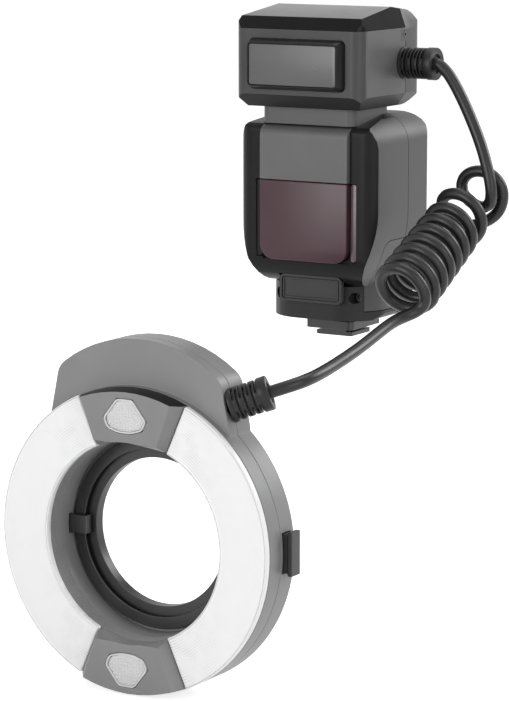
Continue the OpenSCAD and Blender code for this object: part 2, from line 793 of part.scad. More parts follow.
module battery_door() {
    color([0.18, 0.18, 0.19]) difference() {
        union() {
            intersection() {
                union() {
                    body_block(0);
                    base_block(0);
                }
                union() {
                    difference() {
                        intersection() {
                            box([16, door_front + run_gap, door_low + run_gap],
                                [far, door_rear - run_gap, door_top - run_gap]);
                            rear_zone(run_gap);
                        }
                        body_block(door_skin);
                        base_block(door_skin);
                    }
                    for (s = cell_spots) rod_x(door_pad_x, far, 8, s[0], s[1]);
                }
            }
            rod_y(hinge_mid_y - knuckle_l / 2, hinge_mid_y + knuckle_l / 2,
                2 * knuckle_r, hinge_x, hinge_z);
            box([hinge_x - 1.2, hinge_mid_y - knuckle_l / 2, hinge_z],
                [hinge_x + 0.2, hinge_mid_y + knuckle_l / 2, door_low + 1.2]);
        }
        rod_y(-far, far, hinge_pin_d + 2 * pin_gap, hinge_x, hinge_z);
        for (s = [-1, 1]) translate([0, hinge_mid_y + s * (knuckle_l + hinge_l) / 4, 0])
            rod_y(-knuckle_room / 2, knuckle_room / 2, 2 * (knuckle_r + run_gap), hinge_x, hinge_z);
        translate([half_w + far / 2 + 5, 0, 0]) cube(far, center = true);
    }
}

module door_contacts() {
    color("silver") for (s = cell_spots) rod_x(door_pad_x - strip_t, door_pad_x, 7.6, s[0], s[1]);
}

module door_pin() {
    color("silver")
        rod_y(hinge_mid_y - hinge_l / 2, hinge_mid_y + hinge_l / 2, hinge_pin_d, hinge_x, hinge_z);
}

// Electronics and rear controls
module main_board() {
    color([0.05, 0.3, 0.15]) box([-half_w + board_edge, board_y, board_low],
        [half_w - board_edge, board_rear, board_top]);
}

module transformer() {
    color([0.6, 0.4, 0.15]) box([-transformer_w / 2, board_y - transformer_t, transformer_low],
        [transformer_w / 2, board_y, transformer_low + transformer_h]);
}

module lcd_module() {
    color([0.5, 0.55, 0.5]) box([-lcd_w / 2 - 1, board_rear, lcd_z - lcd_h / 2 - 1],
        [lcd_w / 2 + 1, inner_rear - 0.8, lcd_z + lcd_h / 2 + 1]);
}

module lcd_window() {
    color([0.2, 0.22, 0.2]) {
        span_y(inner_rear - 0.8, inner_rear) translate([0, lcd_z])
            square([lcd_w + 2, lcd_h + 2], center = true);
        span_y(inner_rear, body_rear) translate([0, lcd_z]) soft_square(lcd_w, lcd_h, 1.8);
    }
}

module key(i) {
    color([0.13, 0.13, 0.14]) {
        span_y(flange_y, body_rear + 1) translate([key_xs[i], key_z]) soft_square(key_w, key_h, 1);
        span_y(flange_y, inner_rear - run_gap) translate([key_xs[i], key_z])
            square([key_w + 1.6, key_h + 1.6], center = true);
        rod_y(board_rear + switch_t + key_travel, flange_y, 2.6, key_xs[i], key_z);
    }
}

module key_one() { key(0); }
module key_two() { key(1); }
module key_three() { key(2); }
module key_four() { key(3); }

module key_switches() {
    color("gray") {
        for (x = concat(key_xs, [0])) translate([x, 0, x == 0 ? dial_z : key_z])
            box([-3, board_rear, -3], [3, board_rear + switch_t, 3]);
        box([-side_control_x - 3, board_rear, dial_z - 3],
            [-side_control_x + 3, board_rear + switch_t, dial_z + 3]);
        box([side_control_x - 5, board_rear, dial_z - 3],
            [side_control_x + 5, board_rear + switch_t, dial_z + 3]);
        difference() {
            box([-8, board_rear, dial_z - 3.6], [8, encoder_rear, dial_z + 8]);
            box([-3.4, 0, dial_z - 3.6], [3.4, far, dial_z + 3.4]);
        }
    }
}

module select_dial() {
    color([0.12, 0.12, 0.13]) difference() {
        union() {
            rod_y(body_rear + run_gap, body_rear + 3, dial_d, 0, dial_z);
            rod_y(encoder_rear + run_gap, body_rear + run_gap, hub_d, 0, dial_z);
        }
        rod_y(0, far, set_d + 2 * pin_gap, 0, dial_z);
    }
}

module set_button() {
    color([0.2, 0.2, 0.21]) {
        rod_y(encoder_rear + key_travel + run_gap, body_rear + 3.6, set_d, 0, dial_z);
        rod_y(board_rear + switch_t + key_travel, encoder_rear + key_travel + run_gap, 2.6, 0, dial_z);
    }
}

module power_switch() {
    x = side_control_x - switch_travel / 2;
    color([0.13, 0.13, 0.14]) {
        box([x - knob_w / 2, body_rear + run_gap, dial_z - 2.6],
            [x + knob_w / 2, body_rear + 1.6, dial_z + 2.6]);
        box([x - stem_w / 2, flange_y, dial_z - 1.3], [x + stem_w / 2, body_rear + run_gap, dial_z + 1.3]);
        box([x - stem_w / 2 - 1, board_rear + switch_t + 0.2, dial_z - 2.2],
            [x + stem_w / 2 + 1, inner_rear - run_gap, dial_z + 2.2]);
    }
}

module test_button() {
    color([0.5, 0.12, 0.1]) {
        rod_y(flange_y, body_rear + 1.2, test_d, -side_control_x, dial_z);
        rod_y(flange_y, inner_rear - run_gap, test_d + 1.6, -side_control_x, dial_z);
        rod_y(board_rear + switch_t + key_travel, flange_y, 2.6, -side_control_x, dial_z);
    }
}

// Neck and head
module neck() {
    color([0.3, 0.3, 0.31]) difference() {
        neck_block(0);
        box([-14, neck_front + 6, 0], [14, neck_front + neck_l - 6, far]);
    }
}

module head_block(g) {
    intersection() {
        span_z(head_low - 1, head_top + 1) polygon(head_plan(g));
        span_x(-head_w, head_w) polygon(drawn_in(head_side, g));
        span_y(head_front - 1, head_rear + 1) polygon(drawn_in(head_face, g));
    }
}

module head_rear_zone() {
    box([-far, head_seam, 0], [far, far, far]);
    box([-far, head_seam - boss_reach, head_screw_z - boss_half],
        [far, head_seam + 1, head_screw_z + boss_half]);
}

module head_shell() {
    difference() {
        head_block(0);
        difference() {
            head_block(head_wall);
            for (s = [-1, 1])
                rod_x(s * (head_w / 2) - 5, s * (head_w / 2) + 5, 5.4, head_screw_y, head_screw_z);
        }
        box([-14, neck_front + 6, 0], [14, neck_front + neck_l - 6, head_low + head_wall + 1]);
        rod_x(0, far, gland_neck_d, gland_y, gland_z);
        for (s = [-1, 1]) {
            rod_x(s * (head_w / 2) - 0.9, s * (head_w / 2) + 0.9, 3.4, head_screw_y, head_screw_z);
            rod_x(s * (head_w / 2) - 5, s * (head_w / 2) + 5, 1.8, head_screw_y, head_screw_z);
        }
    }
}

module head_front_shell() {
    color([0.17, 0.17, 0.18]) difference() {
        head_shell();
        head_rear_zone();
        box([-far, -far, band_z], [far, far, far]);
    }
}

module head_rear_shell() {
    color([0.16, 0.16, 0.17]) intersection() {
        head_shell();
        head_rear_zone();
    }
}

module head_top_cap() {
    color([0.06, 0.06, 0.07]) difference() {
        intersection() {
            head_shell();
            box([-far, -far, band_z], [far, far, far]);
        }
        head_rear_zone();
    }
}

module head_window() {
    w0 = glass_w / 2;
    w1 = w0 - glass_draft;
    h0 = glass_h / 2;
    h1 = h0 - glass_draft * 0.7;
    y1 = head_front - glass_out;
    color([0.3, 0.31, 0.32]) intersection() {
        span_y(y1 - 1, head_front) translate([0, glass_z]) soft_square(glass_w, glass_h, 2.5);
        span_z(glass_z - h0, glass_z + h0)
            polygon([[-w0, head_front], [w0, head_front], [w1, y1], [-w1, y1]]);
        span_x(-w0, w0) polygon([[head_front, glass_z - h0], [head_front, glass_z + h0],
            [y1, glass_z + h1], [y1, glass_z - h1]]);
    }
}

module flash_capacitor() {
    z = head_low + head_wall + capacitor_d / 2;
    color([0.1, 0.12, 0.25]) difference() {
        rod_x(-capacitor_l / 2, capacitor_l / 2, capacitor_d,
            head_front + head_wall + capacitor_d / 2 + 1, z + 0.4);
        rod_x(-capacitor_l / 2 - 1, -capacitor_l / 2 + 0.6, capacitor_d - 4,
            head_front + head_wall + capacitor_d / 2 + 1, z + 0.4);
    }
}

// Cord glands: a neck through the wall, a collar, ribs and a solid end
module gland(neck_l) {
    rib = (gland_l - 5) / gland_ribs;
    translate([0, 0, -neck_l]) cylinder(h = neck_l, d = gland_neck_d - 0.1);
    cylinder(h = 2, d = gland_d);
    cylinder(h = gland_l, d = gland_d - 4);
    for (i = [0:gland_ribs - 1]) translate([0, 0, 2 + rib * (i + 0.35)])
        cylinder(h = rib * 0.65, d = gland_d);
    translate([0, 0, gland_l - 3]) cylinder(h = 3, d = gland_d - 2.6);
}

module head_gland() {
    color([0.06, 0.06, 0.06]) translate([head_w / 2, gland_y, gland_z]) rotate([0, 90, 0])
        gland(head_wall + 1);
}

module ring_gland() {
    color([0.06, 0.06, 0.06]) difference() {
        translate(ring_gland_at) aim(ring_gland_dir) gland(ring_neck_l);
        at_ring() difference() {
            span_z(0, arch_depth) polygon(arch_outline(-0.1));
            arch_hole();
        }
    }
}

// A place, and a direction, in the ring's own frame
function ring_local(p) = [p[0], p[2] - ring_z, ring_back - p[1]];

function ring_turned(v) = [v[0], v[2], -v[1]];

// Cord
cord_r = cord_d / 2;
head_cord_at = [head_w / 2 + gland_l, gland_y, gland_z];
ring_cord_at = ring_gland_at + unit(ring_gland_dir) * gland_l;
coil_from = [66, -10.5, 60];
coil_dir = unit([0, -0.891, -0.454]);
coil_up = unit([0, -0.454, 0.891]);
coil_right = [1, 0, 0];
curl_rings = 8;
coil_start = -0.53;
coil_end = coil_turns - 0.8;
coil_steps = round((coil_end - coil_start) * curl_rings);

// The coil after m turns: its turn in degrees, its place along the axis and its radius
function coil_turn(m) = 96 - 360 * m;

function coil_along(m) = coil_pitch * m + coil_ease * (1 - pow(max(0, 1 - m / 3), 3));

function coil_radius(m) = coil_d / 2 + coil_flare * m;

function coil_point(m) = coil_from + coil_along(m) * coil_dir
    + coil_radius(m) * (cos(coil_turn(m)) * coil_right + sin(coil_turn(m)) * coil_up);

function coil_tangent(m) = unit(coil_point(m + 0.001) - coil_point(m - 0.001));

coil_mid = [for (i = [0:coil_steps]) coil_point(coil_start + (coil_end - coil_start) * i / coil_steps)];
coil_first = coil_mid[0] - coil_tangent(coil_start) * cord_d;
coil_last = coil_mid[coil_steps] + coil_tangent(coil_end) * cord_d;
coil_path = concat([coil_first], coil_mid, [coil_last]);

// The upper run drops from the head and makes one loose loop before the coil
upper_route = [[55.7, -2.5, 120], [59.3, -1.6, 113.5], [62.9, -1.6, 107], [67, -2, 99], [71.5, -3, 90],
    [76, -5, 79], [78, -5.5, 71.5], [78, -5, 65], [73.5, -2.5, 62],
    [67.5, 0, 63], [61.5, 2, 65], [58, 2.5, 70],
    [59, 2, 75], [64, 1.5, 78.5], [71, 1, 79], [77.5, 1.5, 76], [80, 3, 70], [79, 3, 62]];
upper_path = eased(concat([head_cord_at, head_cord_at + [3, 0, 0]], upper_route,
    [coil_first - coil_tangent(coil_start) * 2, coil_first]));

// The lower run leaves the coil at its front and falls to the ring
lower_route = [
    [77.5, -66, 27], [73.5, -67.5, 24], [69.5, -73, 22.5], [68, -79, 21], [67.5, -90, 18], [67.5, -107, 13.8],
    [67.5, -124, 10.5], [67.5, -141, 7.8], [66, -153, 6]];
lower_path = eased(concat([coil_last, coil_last + coil_tangent(coil_end) * 2], lower_route,
    [ring_cord_at + unit(ring_gland_dir) * 4, ring_cord_at]));

// A smooth line through a route's points, with one more point in each run but the first and the last
function eased(p) = [for (i = [0:len(p) - 1]) each
    i < 1 || i > len(p) - 3 ? [p[i]] : [p[i], (9 * (p[i] + p[i + 1]) - p[i - 1] - p[i + 2]) / 16]];

function along(path, i) = unit(path[min(i + 1, len(path) - 1)] - path[max(i - 1, 0)]);

// The tube of a path, with its end faces square to the first and last runs
function tube_points(path, sides, side) = [for (i = [0:len(path) - 1])
    let (t = along(path, i), a = unit(cross(t, side)), b = cross(t, a))
    for (k = [0:sides - 1]) path[i] + cord_r * (cos(360 * k / sides) * a + sin(360 * k / sides) * b)];

function tube_faces(rings, sides) = concat(
    [for (k = [1:sides - 2]) [0, k, k + 1]],
    [for (k = [1:sides - 2]) [0, k + 1, k] + [1, 1, 1] * (rings - 1) * sides],
    [for (i = [0:rings - 2], k = [0:sides - 1], h = [0, 1])
        let (a = i * sides + k, b = i * sides + (k + 1) % sides)
        h == 0 ? [a, a + sides, b] : [b, a + sides, b + sides]]);

module tube(path, sides, side) {
    polyhedron(tube_points(path, sides, side), tube_faces(len(path), sides));
}

module cord_upper() { color([0.07, 0.07, 0.07]) tube(upper_path, 8, [0, 1, 0]); }

module cord_coil() { color([0.07, 0.07, 0.07]) tube(coil_path, 6, coil_dir); }

module cord_lower() { color([0.07, 0.07, 0.07]) tube(lower_path, 8, [1, 0, -1]); }

// Least gap between the cord and itself, over places more than a quarter turn apart along it
fine = concat(upper_path,
    [for (i = [0:coil_turns * 24]) coil_point(coil_start + (coil_end - coil_start) * i / coil_turns / 24)],
    lower_path);
whole = len(fine) - 1;
cord_gap = min([for (i = [0:whole]) for (j = [min(i + 9, whole + 1):1:whole])
    norm(fine[i] - fine[j]) > 0 ? norm(fine[i] - fine[j]) : far]) - cord_d;
echo("least gap between the cord and itself", cord_gap);

// Ring head, in the ring's own frame
module arch_hole() {
    translate(ring_local(ring_gland_at)) aim(ring_turned(ring_gland_dir))
        translate([0, 0, -ring_neck_l - ring_neck_room]) cylinder(h = gland_l, d = gland_neck_d);
}

module case_outline(g, z0, z1) {
    rod_z(z0, z1, 2 * (ring_r - g));
    span_z(z0, z1) polygon(arch_outline(g));
}

module ring_rear_case() {
    color([0.2, 0.2, 0.21]) at_ring() difference() {
        union() {
            difference() {
                case_outline(0, 0, rear_case_depth);
                case_outline(case_wall, case_wall, rear_case_depth + 1);
            }
            for (a = ring_screw_at) rotate([0, 0, a]) {
                rod_z(case_wall / 2, board_z, 5, ring_board_r1 - 4, 0);
                rod_z(case_wall / 2, stem_low + 3, 6.4, ring_screw_r, 0);
            }
            for (s = [-1, 1]) box([s * spring_stop_x - 1, spring_at[0] - 2.2, case_wall / 2],
                [s * spring_stop_x + 1, spring_at[0] + 2.2, board_z]);
        }
        rod_z(-1, case_wall + 1, 2 * socket_r);
        for (s = [-1, 1]) mirror([s < 0 ? 1 : 0, 0, 0]) box([ring_r - case_wall - 4, -stem_half - run_gap,
            stem_low - run_gap], [far, stem_half + run_gap, stem_high + run_gap]);
        for (a = ring_screw_at) rotate([0, 0, a]) {
            rod_z(-1, 1.2, ring_screw_d + 0.2, ring_screw_r, 0);
            rod_z(-1, far, 2.2, ring_screw_r, 0);
        }
        arch_hole();
    }
}

module ring_front_case() {
    color([0.27, 0.27, 0.28]) at_ring() difference() {
        union() {
            difference() {
                rod_z(rear_case_depth, case_top, ring_d);
                rod_z(rear_case_depth - 1, case_top + 1, ring_d - 2 * case_wall);
            }
            difference() {
                span_z(rear_case_depth, arch_depth) polygon(arch_outline(0));
                span_z(rear_case_depth - 1, arch_depth - case_wall) polygon(arch_outline(case_wall));
                rod_z(rear_case_depth - 1, far, ring_d - 2 * case_wall);
            }
            for (a = [0, 180]) rotate([0, 0, a]) difference() {
                span_z(case_top - case_wall, case_top)
                    polygon(sector(bore_r + sleeve_t + 0.2, ring_r - 1, lamp_half));
                rod_z(0, far, 12, 0, lamp_r);
            }
        }
        rod_z(rear_case_depth - 1, case_top - case_wall - 0.2, ring_d - 2 * case_wall);
        arch_hole();
    }
}

// The bore's wall, ribbed near the front against stray light
module bore_sleeve() {
    ridges = 6;
    pitch = 1.2;
    color([0.14, 0.14, 0.15]) at_ring() difference() {
        rod_z(case_wall, case_top, 2 * (bore_r + sleeve_t));
        rod_z(0, far, bore_d);
        for (i = [0:ridges - 1]) rod_z(case_top - 1 - i * pitch, case_top - 0.4 - i * pitch, bore_d + 0.8);
        rod_z(0, adapter_low + adapter_t + 0.3, 2 * socket_r + 0.6);
        for (s = [-1, 1]) mirror([s < 0 ? 1 : 0, 0, 0])
            box([30, -tongue_half - run_gap, tongue_low - run_gap],
            [60, tongue_half + run_gap, tongue_low + tongue_t + run_gap]);
    }
}

module diffuser(turn) {
    z0 = case_top;
    color([0.93, 0.93, 0.91]) at_ring() rotate([0, 0, turn - diffuser_half])
        rotate_extrude(angle = 2 * diffuser_half, $fn = 96) polygon([[bore_r, z0], [ring_r, z0],
            [ring_r, ring_depth - 1.4], [ring_r - 0.5, ring_depth - 0.4], [ring_r - 1.6, ring_depth],
            [bore_r + 1, ring_depth], [bore_r, ring_depth - 0.8]]);
}

module diffuser_right() { diffuser(0); }

module diffuser_left() { diffuser(180); }

module reflectors() {
    color([0.8, 0.8, 0.82]) at_ring() for (a = [0, 180]) difference() {
        rotate([0, 0, a - reflector_half]) rotate_extrude(angle = 2 * reflector_half, $fn = 96)
            polygon([[reflector_r0, reflector_z], [reflector_r1, reflector_z],
                [reflector_r1, case_top - 0.3],
                [reflector_r0, case_top - 0.3]]);
        rotate([0, 0, a - reflector_half + 1.5]) rotate_extrude(angle = 2 * reflector_half - 3, $fn = 96)
            polygon([[reflector_r0 + reflector_t, reflector_z + reflector_t],
                [reflector_r1 - reflector_t, reflector_z + reflector_t],
                [reflector_r1 - reflector_t, case_top], [reflector_r0 + reflector_t, case_top]]);
        rotate([0, 0, a - reflector_half - 3]) rotate_extrude(angle = 2 * reflector_half + 6, $fn = 96)
            translate([tube_r, tube_z]) circle(d = tube_d + 0.1);
        translate(ring_local(ring_gland_at)) aim(ring_turned(ring_gland_dir)) translate([0, 0, -8])
            cylinder(h = 8 + gland_l, d = gland_d + 2 * run_gap);
    }
}

module flash_tubes() {
    color([0.9, 0.95, 1]) at_ring() for (a = [0, 180]) rotate([0, 0, a - reflector_half - 0.5])
        rotate_extrude(angle = 2 * reflector_half + 1, $fn = 96)
            translate([tube_r, tube_z]) circle(d = tube_d);
}

module lamp_block() {
    color([0.27, 0.27, 0.28]) difference() {
        hull() {
            span_z(lamp_low, lamp_low + 0.6) polygon(sector(bore_r + 0.6, ring_r, lamp_half));
            span_z(ring_depth, ring_depth + 0.2)
                polygon(sector(bore_r + 0.8, ring_r - 0.3, lamp_half - 0.5));
            span_z(lamp_top - 0.2, lamp_top) polygon(sector(bore_r + 2.6, ring_r - 1, lamp_face_half));
        }
        rod_z(0, far, 2 * bore_r + 0.4);
        intersection() {
            span_z(lamp_low - 1, lens_low - lamp_wall)
                polygon(sector(bore_r + 4, ring_r - 4, lamp_face_half - 2));
            rod_z(0, far, 40, 0, lamp_r);
        }
        span_z(0, far) translate([0, lamp_r]) polygon(lens_outline(1.2));
        span_z(lens_low, far) translate([0, lamp_r]) polygon(lens_outline(-0.1));
    }
}

module lamp_block_top() { at_ring() lamp_block(); }

module lamp_block_bottom() { at_ring() rotate([0, 0, 180]) lamp_block(); }

module lamp_lenses() {
    color([0.85, 0.87, 0.88]) at_ring() for (a = [0, 180]) rotate([0, 0, a]) translate([0, lamp_r])
        span_z(lens_low, lens_top) polygon(lens_outline(0));
}

module lamp_leds() {
    color([0.95, 0.85, 0.4]) at_ring() for (a = [0, 180]) rotate([0, 0, a]) {
        box([-led_half_w, lamp_r - led_half_h, case_top],
            [led_half_w, lamp_r + led_half_h, case_top + 1.2]);
        rod_z(case_top + 1.2, case_top + 3.2, 6, 0, lamp_r);
    }
}

module ring_board() {
    color([0.05, 0.3, 0.15]) at_ring() {
        difference() {
            rod_z(board_z, reflector_z, 2 * ring_board_r1);
            rod_z(0, far, 2 * ring_board_r0);
        }
        for (a = [0, 180]) rotate([0, 0, a])
            box([-led_half_w, lamp_r - led_half_h + 1, reflector_z],
                [led_half_w, lamp_r + led_half_h - 2, reflector_z + 5]);
    }
}

module release() {
    color([0.09, 0.09, 0.1]) at_ring() difference() {
        union() {
            box([pad_x, -release_h / 2, pad_low], [pad_x + pad_t, release_h / 2, pad_high]);
            box([stem_x, -stem_half, stem_low], [pad_x, stem_half, stem_high]);
            box([lip_r - claw_t, -tongue_half, tongue_low], [stem_x, tongue_half, tongue_low + tongue_t]);
            intersection() {
                difference() {
                    rod_z(claw_low, tongue_low, 2 * claw_r);
                    rod_z(0, tongue_low, 2 * (lip_r - claw_t));
                }
                box([0, -tongue_half, 0], [far, tongue_half, far]);
            }
        }
        translate([0, 0, claw_low - 1]) difference() {
            rod_z(0, tongue_low - claw_low + 1, 2 * far);
            rod_z(0, tongue_low - claw_low + 1, 2 * claw_r);
            box([stem_x - 1, -far, 0], [far, far, far]);
        }
        box([lip_r - 0.5, -far, adapter_low + adapter_t - 1.2], [lip_r + 4, far, tongue_low]);
    }
}

module release_right() { release(); }

module release_left() { mirror([1, 0, 0]) release(); }

module release_springs() {
    color("silver") at_ring() for (s = [-1, 1]) mirror([s < 0 ? 1 : 0, 0, 0]) difference() {
        rod_x(spring_stop_x + 1, stem_x, spring_d, spring_at[0], spring_at[1]);
        rod_x(spring_stop_x, stem_x + 1, spring_d - 1.2, spring_at[0], spring_at[1]);
    }
}

module lens_adapter() {
    color([0.08, 0.08, 0.09]) at_ring() difference() {
        union() {
            rod_z(adapter_low, adapter_low + adapter_t, adapter_d);
            rod_z(adapter_low - thread_l, adapter_low, thread_d);
        }
        rod_z(-far / 2, far, thread_d - 2 * thread_wall);
        rod_z(claw_low - 0.4, far, 2 * lip_r);
        rod_z(claw_low - 0.4, adapter_low + adapter_t - 1, 2 * groove_r);
    }
}

module ring_screws() {
    color("gray") at_ring() for (a = ring_screw_at) rotate([0, 0, a]) {
        rod_z(0.1, 1.2, ring_screw_d, ring_screw_r, 0);
        rod_z(1.2, 6, 2.2, ring_screw_r, 0);
    }
}

shoe_foot();
shoe_contacts();
lock_ring();
lock_pin();
foot_retainer();
foot_screws();
rear_shell();
front_shell();
front_panel();
af_window();
af_lamp();
front_plate();
case_screws();
battery_tray();
battery_cells();
tray_contacts();
battery_door();
door_contacts();
door_pin();
main_board();
transformer();
lcd_module();
lcd_window();
key_one();
key_two();
key_three();
key_four();
key_switches();
select_dial();
set_button();
power_switch();
test_button();
neck();
head_front_shell();
head_rear_shell();
head_top_cap();
head_window();
flash_capacitor();
head_gland();
cord_upper();
cord_coil();
cord_lower();
ring_gland();
ring_front_case();
ring_rear_case();
bore_sleeve();
diffuser_left();
diffuser_right();
reflectors();
flash_tubes();
lamp_block_top();
lamp_block_bottom();
lamp_lenses();
lamp_leds();
ring_board();
release_left();
release_right();
release_springs();
lens_adapter();
ring_screws();
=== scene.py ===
import math

import bmesh
import bpy
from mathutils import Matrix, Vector


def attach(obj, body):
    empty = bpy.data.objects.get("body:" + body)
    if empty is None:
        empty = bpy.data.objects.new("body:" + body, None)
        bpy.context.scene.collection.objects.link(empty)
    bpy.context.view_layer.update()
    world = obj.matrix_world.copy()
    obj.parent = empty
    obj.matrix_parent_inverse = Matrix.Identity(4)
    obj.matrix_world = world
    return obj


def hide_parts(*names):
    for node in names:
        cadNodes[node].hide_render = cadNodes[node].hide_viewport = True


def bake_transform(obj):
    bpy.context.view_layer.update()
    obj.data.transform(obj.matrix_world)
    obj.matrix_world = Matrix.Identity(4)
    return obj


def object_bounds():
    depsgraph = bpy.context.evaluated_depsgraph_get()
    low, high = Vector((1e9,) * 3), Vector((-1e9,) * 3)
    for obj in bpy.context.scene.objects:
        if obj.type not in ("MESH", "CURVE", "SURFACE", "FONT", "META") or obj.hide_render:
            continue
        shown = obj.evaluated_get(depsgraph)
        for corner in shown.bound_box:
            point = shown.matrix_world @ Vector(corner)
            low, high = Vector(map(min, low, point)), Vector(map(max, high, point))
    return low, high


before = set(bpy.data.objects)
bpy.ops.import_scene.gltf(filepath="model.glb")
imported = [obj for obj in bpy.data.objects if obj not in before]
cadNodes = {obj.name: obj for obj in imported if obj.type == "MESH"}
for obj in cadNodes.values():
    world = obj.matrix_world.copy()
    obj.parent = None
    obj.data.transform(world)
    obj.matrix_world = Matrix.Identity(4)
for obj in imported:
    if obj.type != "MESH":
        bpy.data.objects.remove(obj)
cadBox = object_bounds()
bpy.ops.object.select_all(action="DESELECT")
mm = 0.001
sameSpot = 0.000002  # metres; points this close are one
ringCentre = Vector((0, -157, -63.3))  # mm
print("frame loaded,", len(cadNodes), "nodes")


# camera at the photograph's viewing angle
photoView = {
    "azimuth": 30.8,
    "elevation": 9.5,
    "distance": 1.3188,
    "target": (0.0, -0.0802, 0.003),
    "sensor": 36.0,  # mm, along the picture's height
    "lens": 154.07,
    "clip": (0.01, 50.0),
}


def addCamera(facts):
    turn = math.radians(facts["azimuth"])
    lift = math.radians(facts["elevation"])
    back = Vector((math.sin(turn) * math.cos(lift), -math.cos(turn) * math.cos(lift), math.sin(lift)))
    place = Vector(facts["target"]) + back * facts["distance"]
    bpy.ops.object.camera_add(location=place, rotation=(-back).to_track_quat("-Z", "Y").to_euler())
    camera = bpy.context.object
    camera.name = "photo_camera"
    camera.data.sensor_width = facts["sensor"]
    camera.data.lens = facts["lens"]
    camera.data.clip_start, camera.data.clip_end = facts["clip"]
    bpy.context.scene.camera = camera


addCamera(photoView)
bpy.context.scene.view_settings.view_transform = "Standard"
print("camera set")


# small hand tools
def clearSelection():
    if bpy.context.object is not None and bpy.context.object.mode != "OBJECT":
        bpy.ops.object.mode_set(mode="OBJECT")
    bpy.ops.object.select_all(action="DESELECT")


def makeActive(piece):
    clearSelection()
    piece.select_set(True)
    bpy.context.view_layer.objects.active = piece


def startEdit(piece):
    makeActive(piece)
    bpy.ops.object.mode_set(mode="EDIT")
    bpy.ops.mesh.select_all(action="DESELECT")


def endEdit():
    bpy.ops.object.mode_set(mode="OBJECT")


def pickFaces(piece, wanted):
    bpy.ops.mesh.select_mode(type="FACE")
    bpy.ops.mesh.select_all(action="DESELECT")
    shape = bmesh.from_edit_mesh(piece.data)
    for face in shape.faces:
        if wanted(face):
            face.select_set(True)
    bmesh.update_edit_mesh(piece.data)


def pickEdges(piece, wanted):
    bpy.ops.mesh.select_mode(type="EDGE")
    bpy.ops.mesh.select_all(action="DESELECT")
    shape = bmesh.from_edit_mesh(piece.data)
    for edge in shape.edges:
        if wanted(edge):
            edge.select_set(True)
    bmesh.update_edit_mesh(piece.data)


def middle(edge):
    return (edge.verts[0].co + edge.verts[1].co) / 2


def applyPlace(piece):
    makeActive(piece)
    bpy.ops.object.transform_apply(location=True, rotation=True, scale=True)


def applyModifiers(piece):
    makeActive(piece)
    for modifier in list(piece.modifiers):
        bpy.ops.object.modifier_apply(modifier=modifier.name)


def softEdges(piece, width, angle=35, segments=2, clamp=False):
    bevel = piece.modifiers.new("edges", "BEVEL")
    bevel.width = width
    bevel.segments = segments
    bevel.limit_method = "ANGLE"
    bevel.angle_limit = math.radians(angle)
    bevel.use_clamp_overlap = clamp
    applyModifiers(piece)


def smoothByAngle(piece, angle=35):
    makeActive(piece)
    bpy.ops.object.shade_smooth_by_angle(angle=math.radians(angle))


def evenNormals(piece):
    # large faces stay flat and the eased edges carry the turn
    weigh = piece.modifiers.new("weigh", "WEIGHTED_NORMAL")
    weigh.keep_sharp = True
    applyModifiers(piece)


def mendNormals(piece):
    startEdit(piece)
    bpy.ops.mesh.select_all(action="SELECT")
    bpy.ops.mesh.remove_doubles(threshold=sameSpot)
    bpy.ops.mesh.normals_make_consistent(inside=False)
    endEdit()


def settle(piece, body, slot, finish, *replaced):
    piece.data.materials.clear()
    piece.data.materials.append(finish)
    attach(piece, body)
    if replaced:
        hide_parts(*replaced)


# small keys, whose flat faces become one face each before their edges are eased
wholeCaps = [
    "key_one", "key_two", "key_three", "key_four", "set_button", "test_button", "power_switch",
    "release_left", "release_right"]
# seams that stand open by a hair: the seam's y and the gap
openSeam = {"front_shell": (-3.0, 0.35), "head_front_shell": (-2.5, 0.3)}
seamReach = 0.05


# a node's own shape with its edges eased
def easedCopy(name, node, width, merge=0.01, clamp=False, angle=35):
    flat = math.radians(1)
    piece = bpy.data.objects.new(name, cadNodes[node].data.copy())
    bpy.context.scene.collection.objects.link(piece)
    startEdit(piece)
    bpy.ops.mesh.select_all(action="SELECT")
    bpy.ops.mesh.remove_doubles(threshold=merge * mm)
    if node in wholeCaps:
        bpy.ops.mesh.dissolve_limited(angle_limit=flat)
    else:
        bpy.ops.mesh.tris_convert_to_quads(face_threshold=flat, shape_threshold=math.radians(170))
    if node in openSeam:
        seam, gap = openSeam[node]
        shape = bmesh.from_edit_mesh(piece.data)
        for vert in shape.verts:
            if abs(vert.co.y - seam * mm) < seamReach * mm:
                vert.co.y -= gap * mm
        bmesh.update_edit_mesh(piece.data)
    endEdit()
    if width:
        softEdges(piece, width * mm, angle, clamp=clamp)
        smoothByAngle(piece, angle)
        evenNormals(piece)
    return piece


# finishes, all on Object coordinates
def shaderTree(name):
    finish = bpy.data.materials.new(name)
    finish.use_nodes = True
    tree = finish.node_tree
    tree.nodes.clear()
    output = tree.nodes.new("ShaderNodeOutputMaterial")
    surface = tree.nodes.new("ShaderNodeBsdfPrincipled")
    tree.links.new(surface.outputs["BSDF"], output.inputs["Surface"])
    place = tree.nodes.new("ShaderNodeTexCoord")
    return finish, tree, surface, place.outputs["Object"]


def cloudNoise(tree, place, size):
    noise = tree.nodes.new("ShaderNodeTexNoise")
    noise.inputs["Scale"].default_value = 1.0 / size
    noise.inputs["Detail"].default_value = 2.0
    tree.links.new(place, noise.inputs["Vector"])
    return noise.outputs["Fac"]


def spreadTo(tree, value, low, high, fromLow=0.3, fromHigh=0.7):
    spread = tree.nodes.new("ShaderNodeMapRange")
    spread.inputs["From Min"].default_value = fromLow
    spread.inputs["From Max"].default_value = fromHigh
    spread.inputs["To Min"].default_value = low
    spread.inputs["To Max"].default_value = high
    tree.links.new(value, spread.inputs["Value"])
    return spread.outputs["Result"]


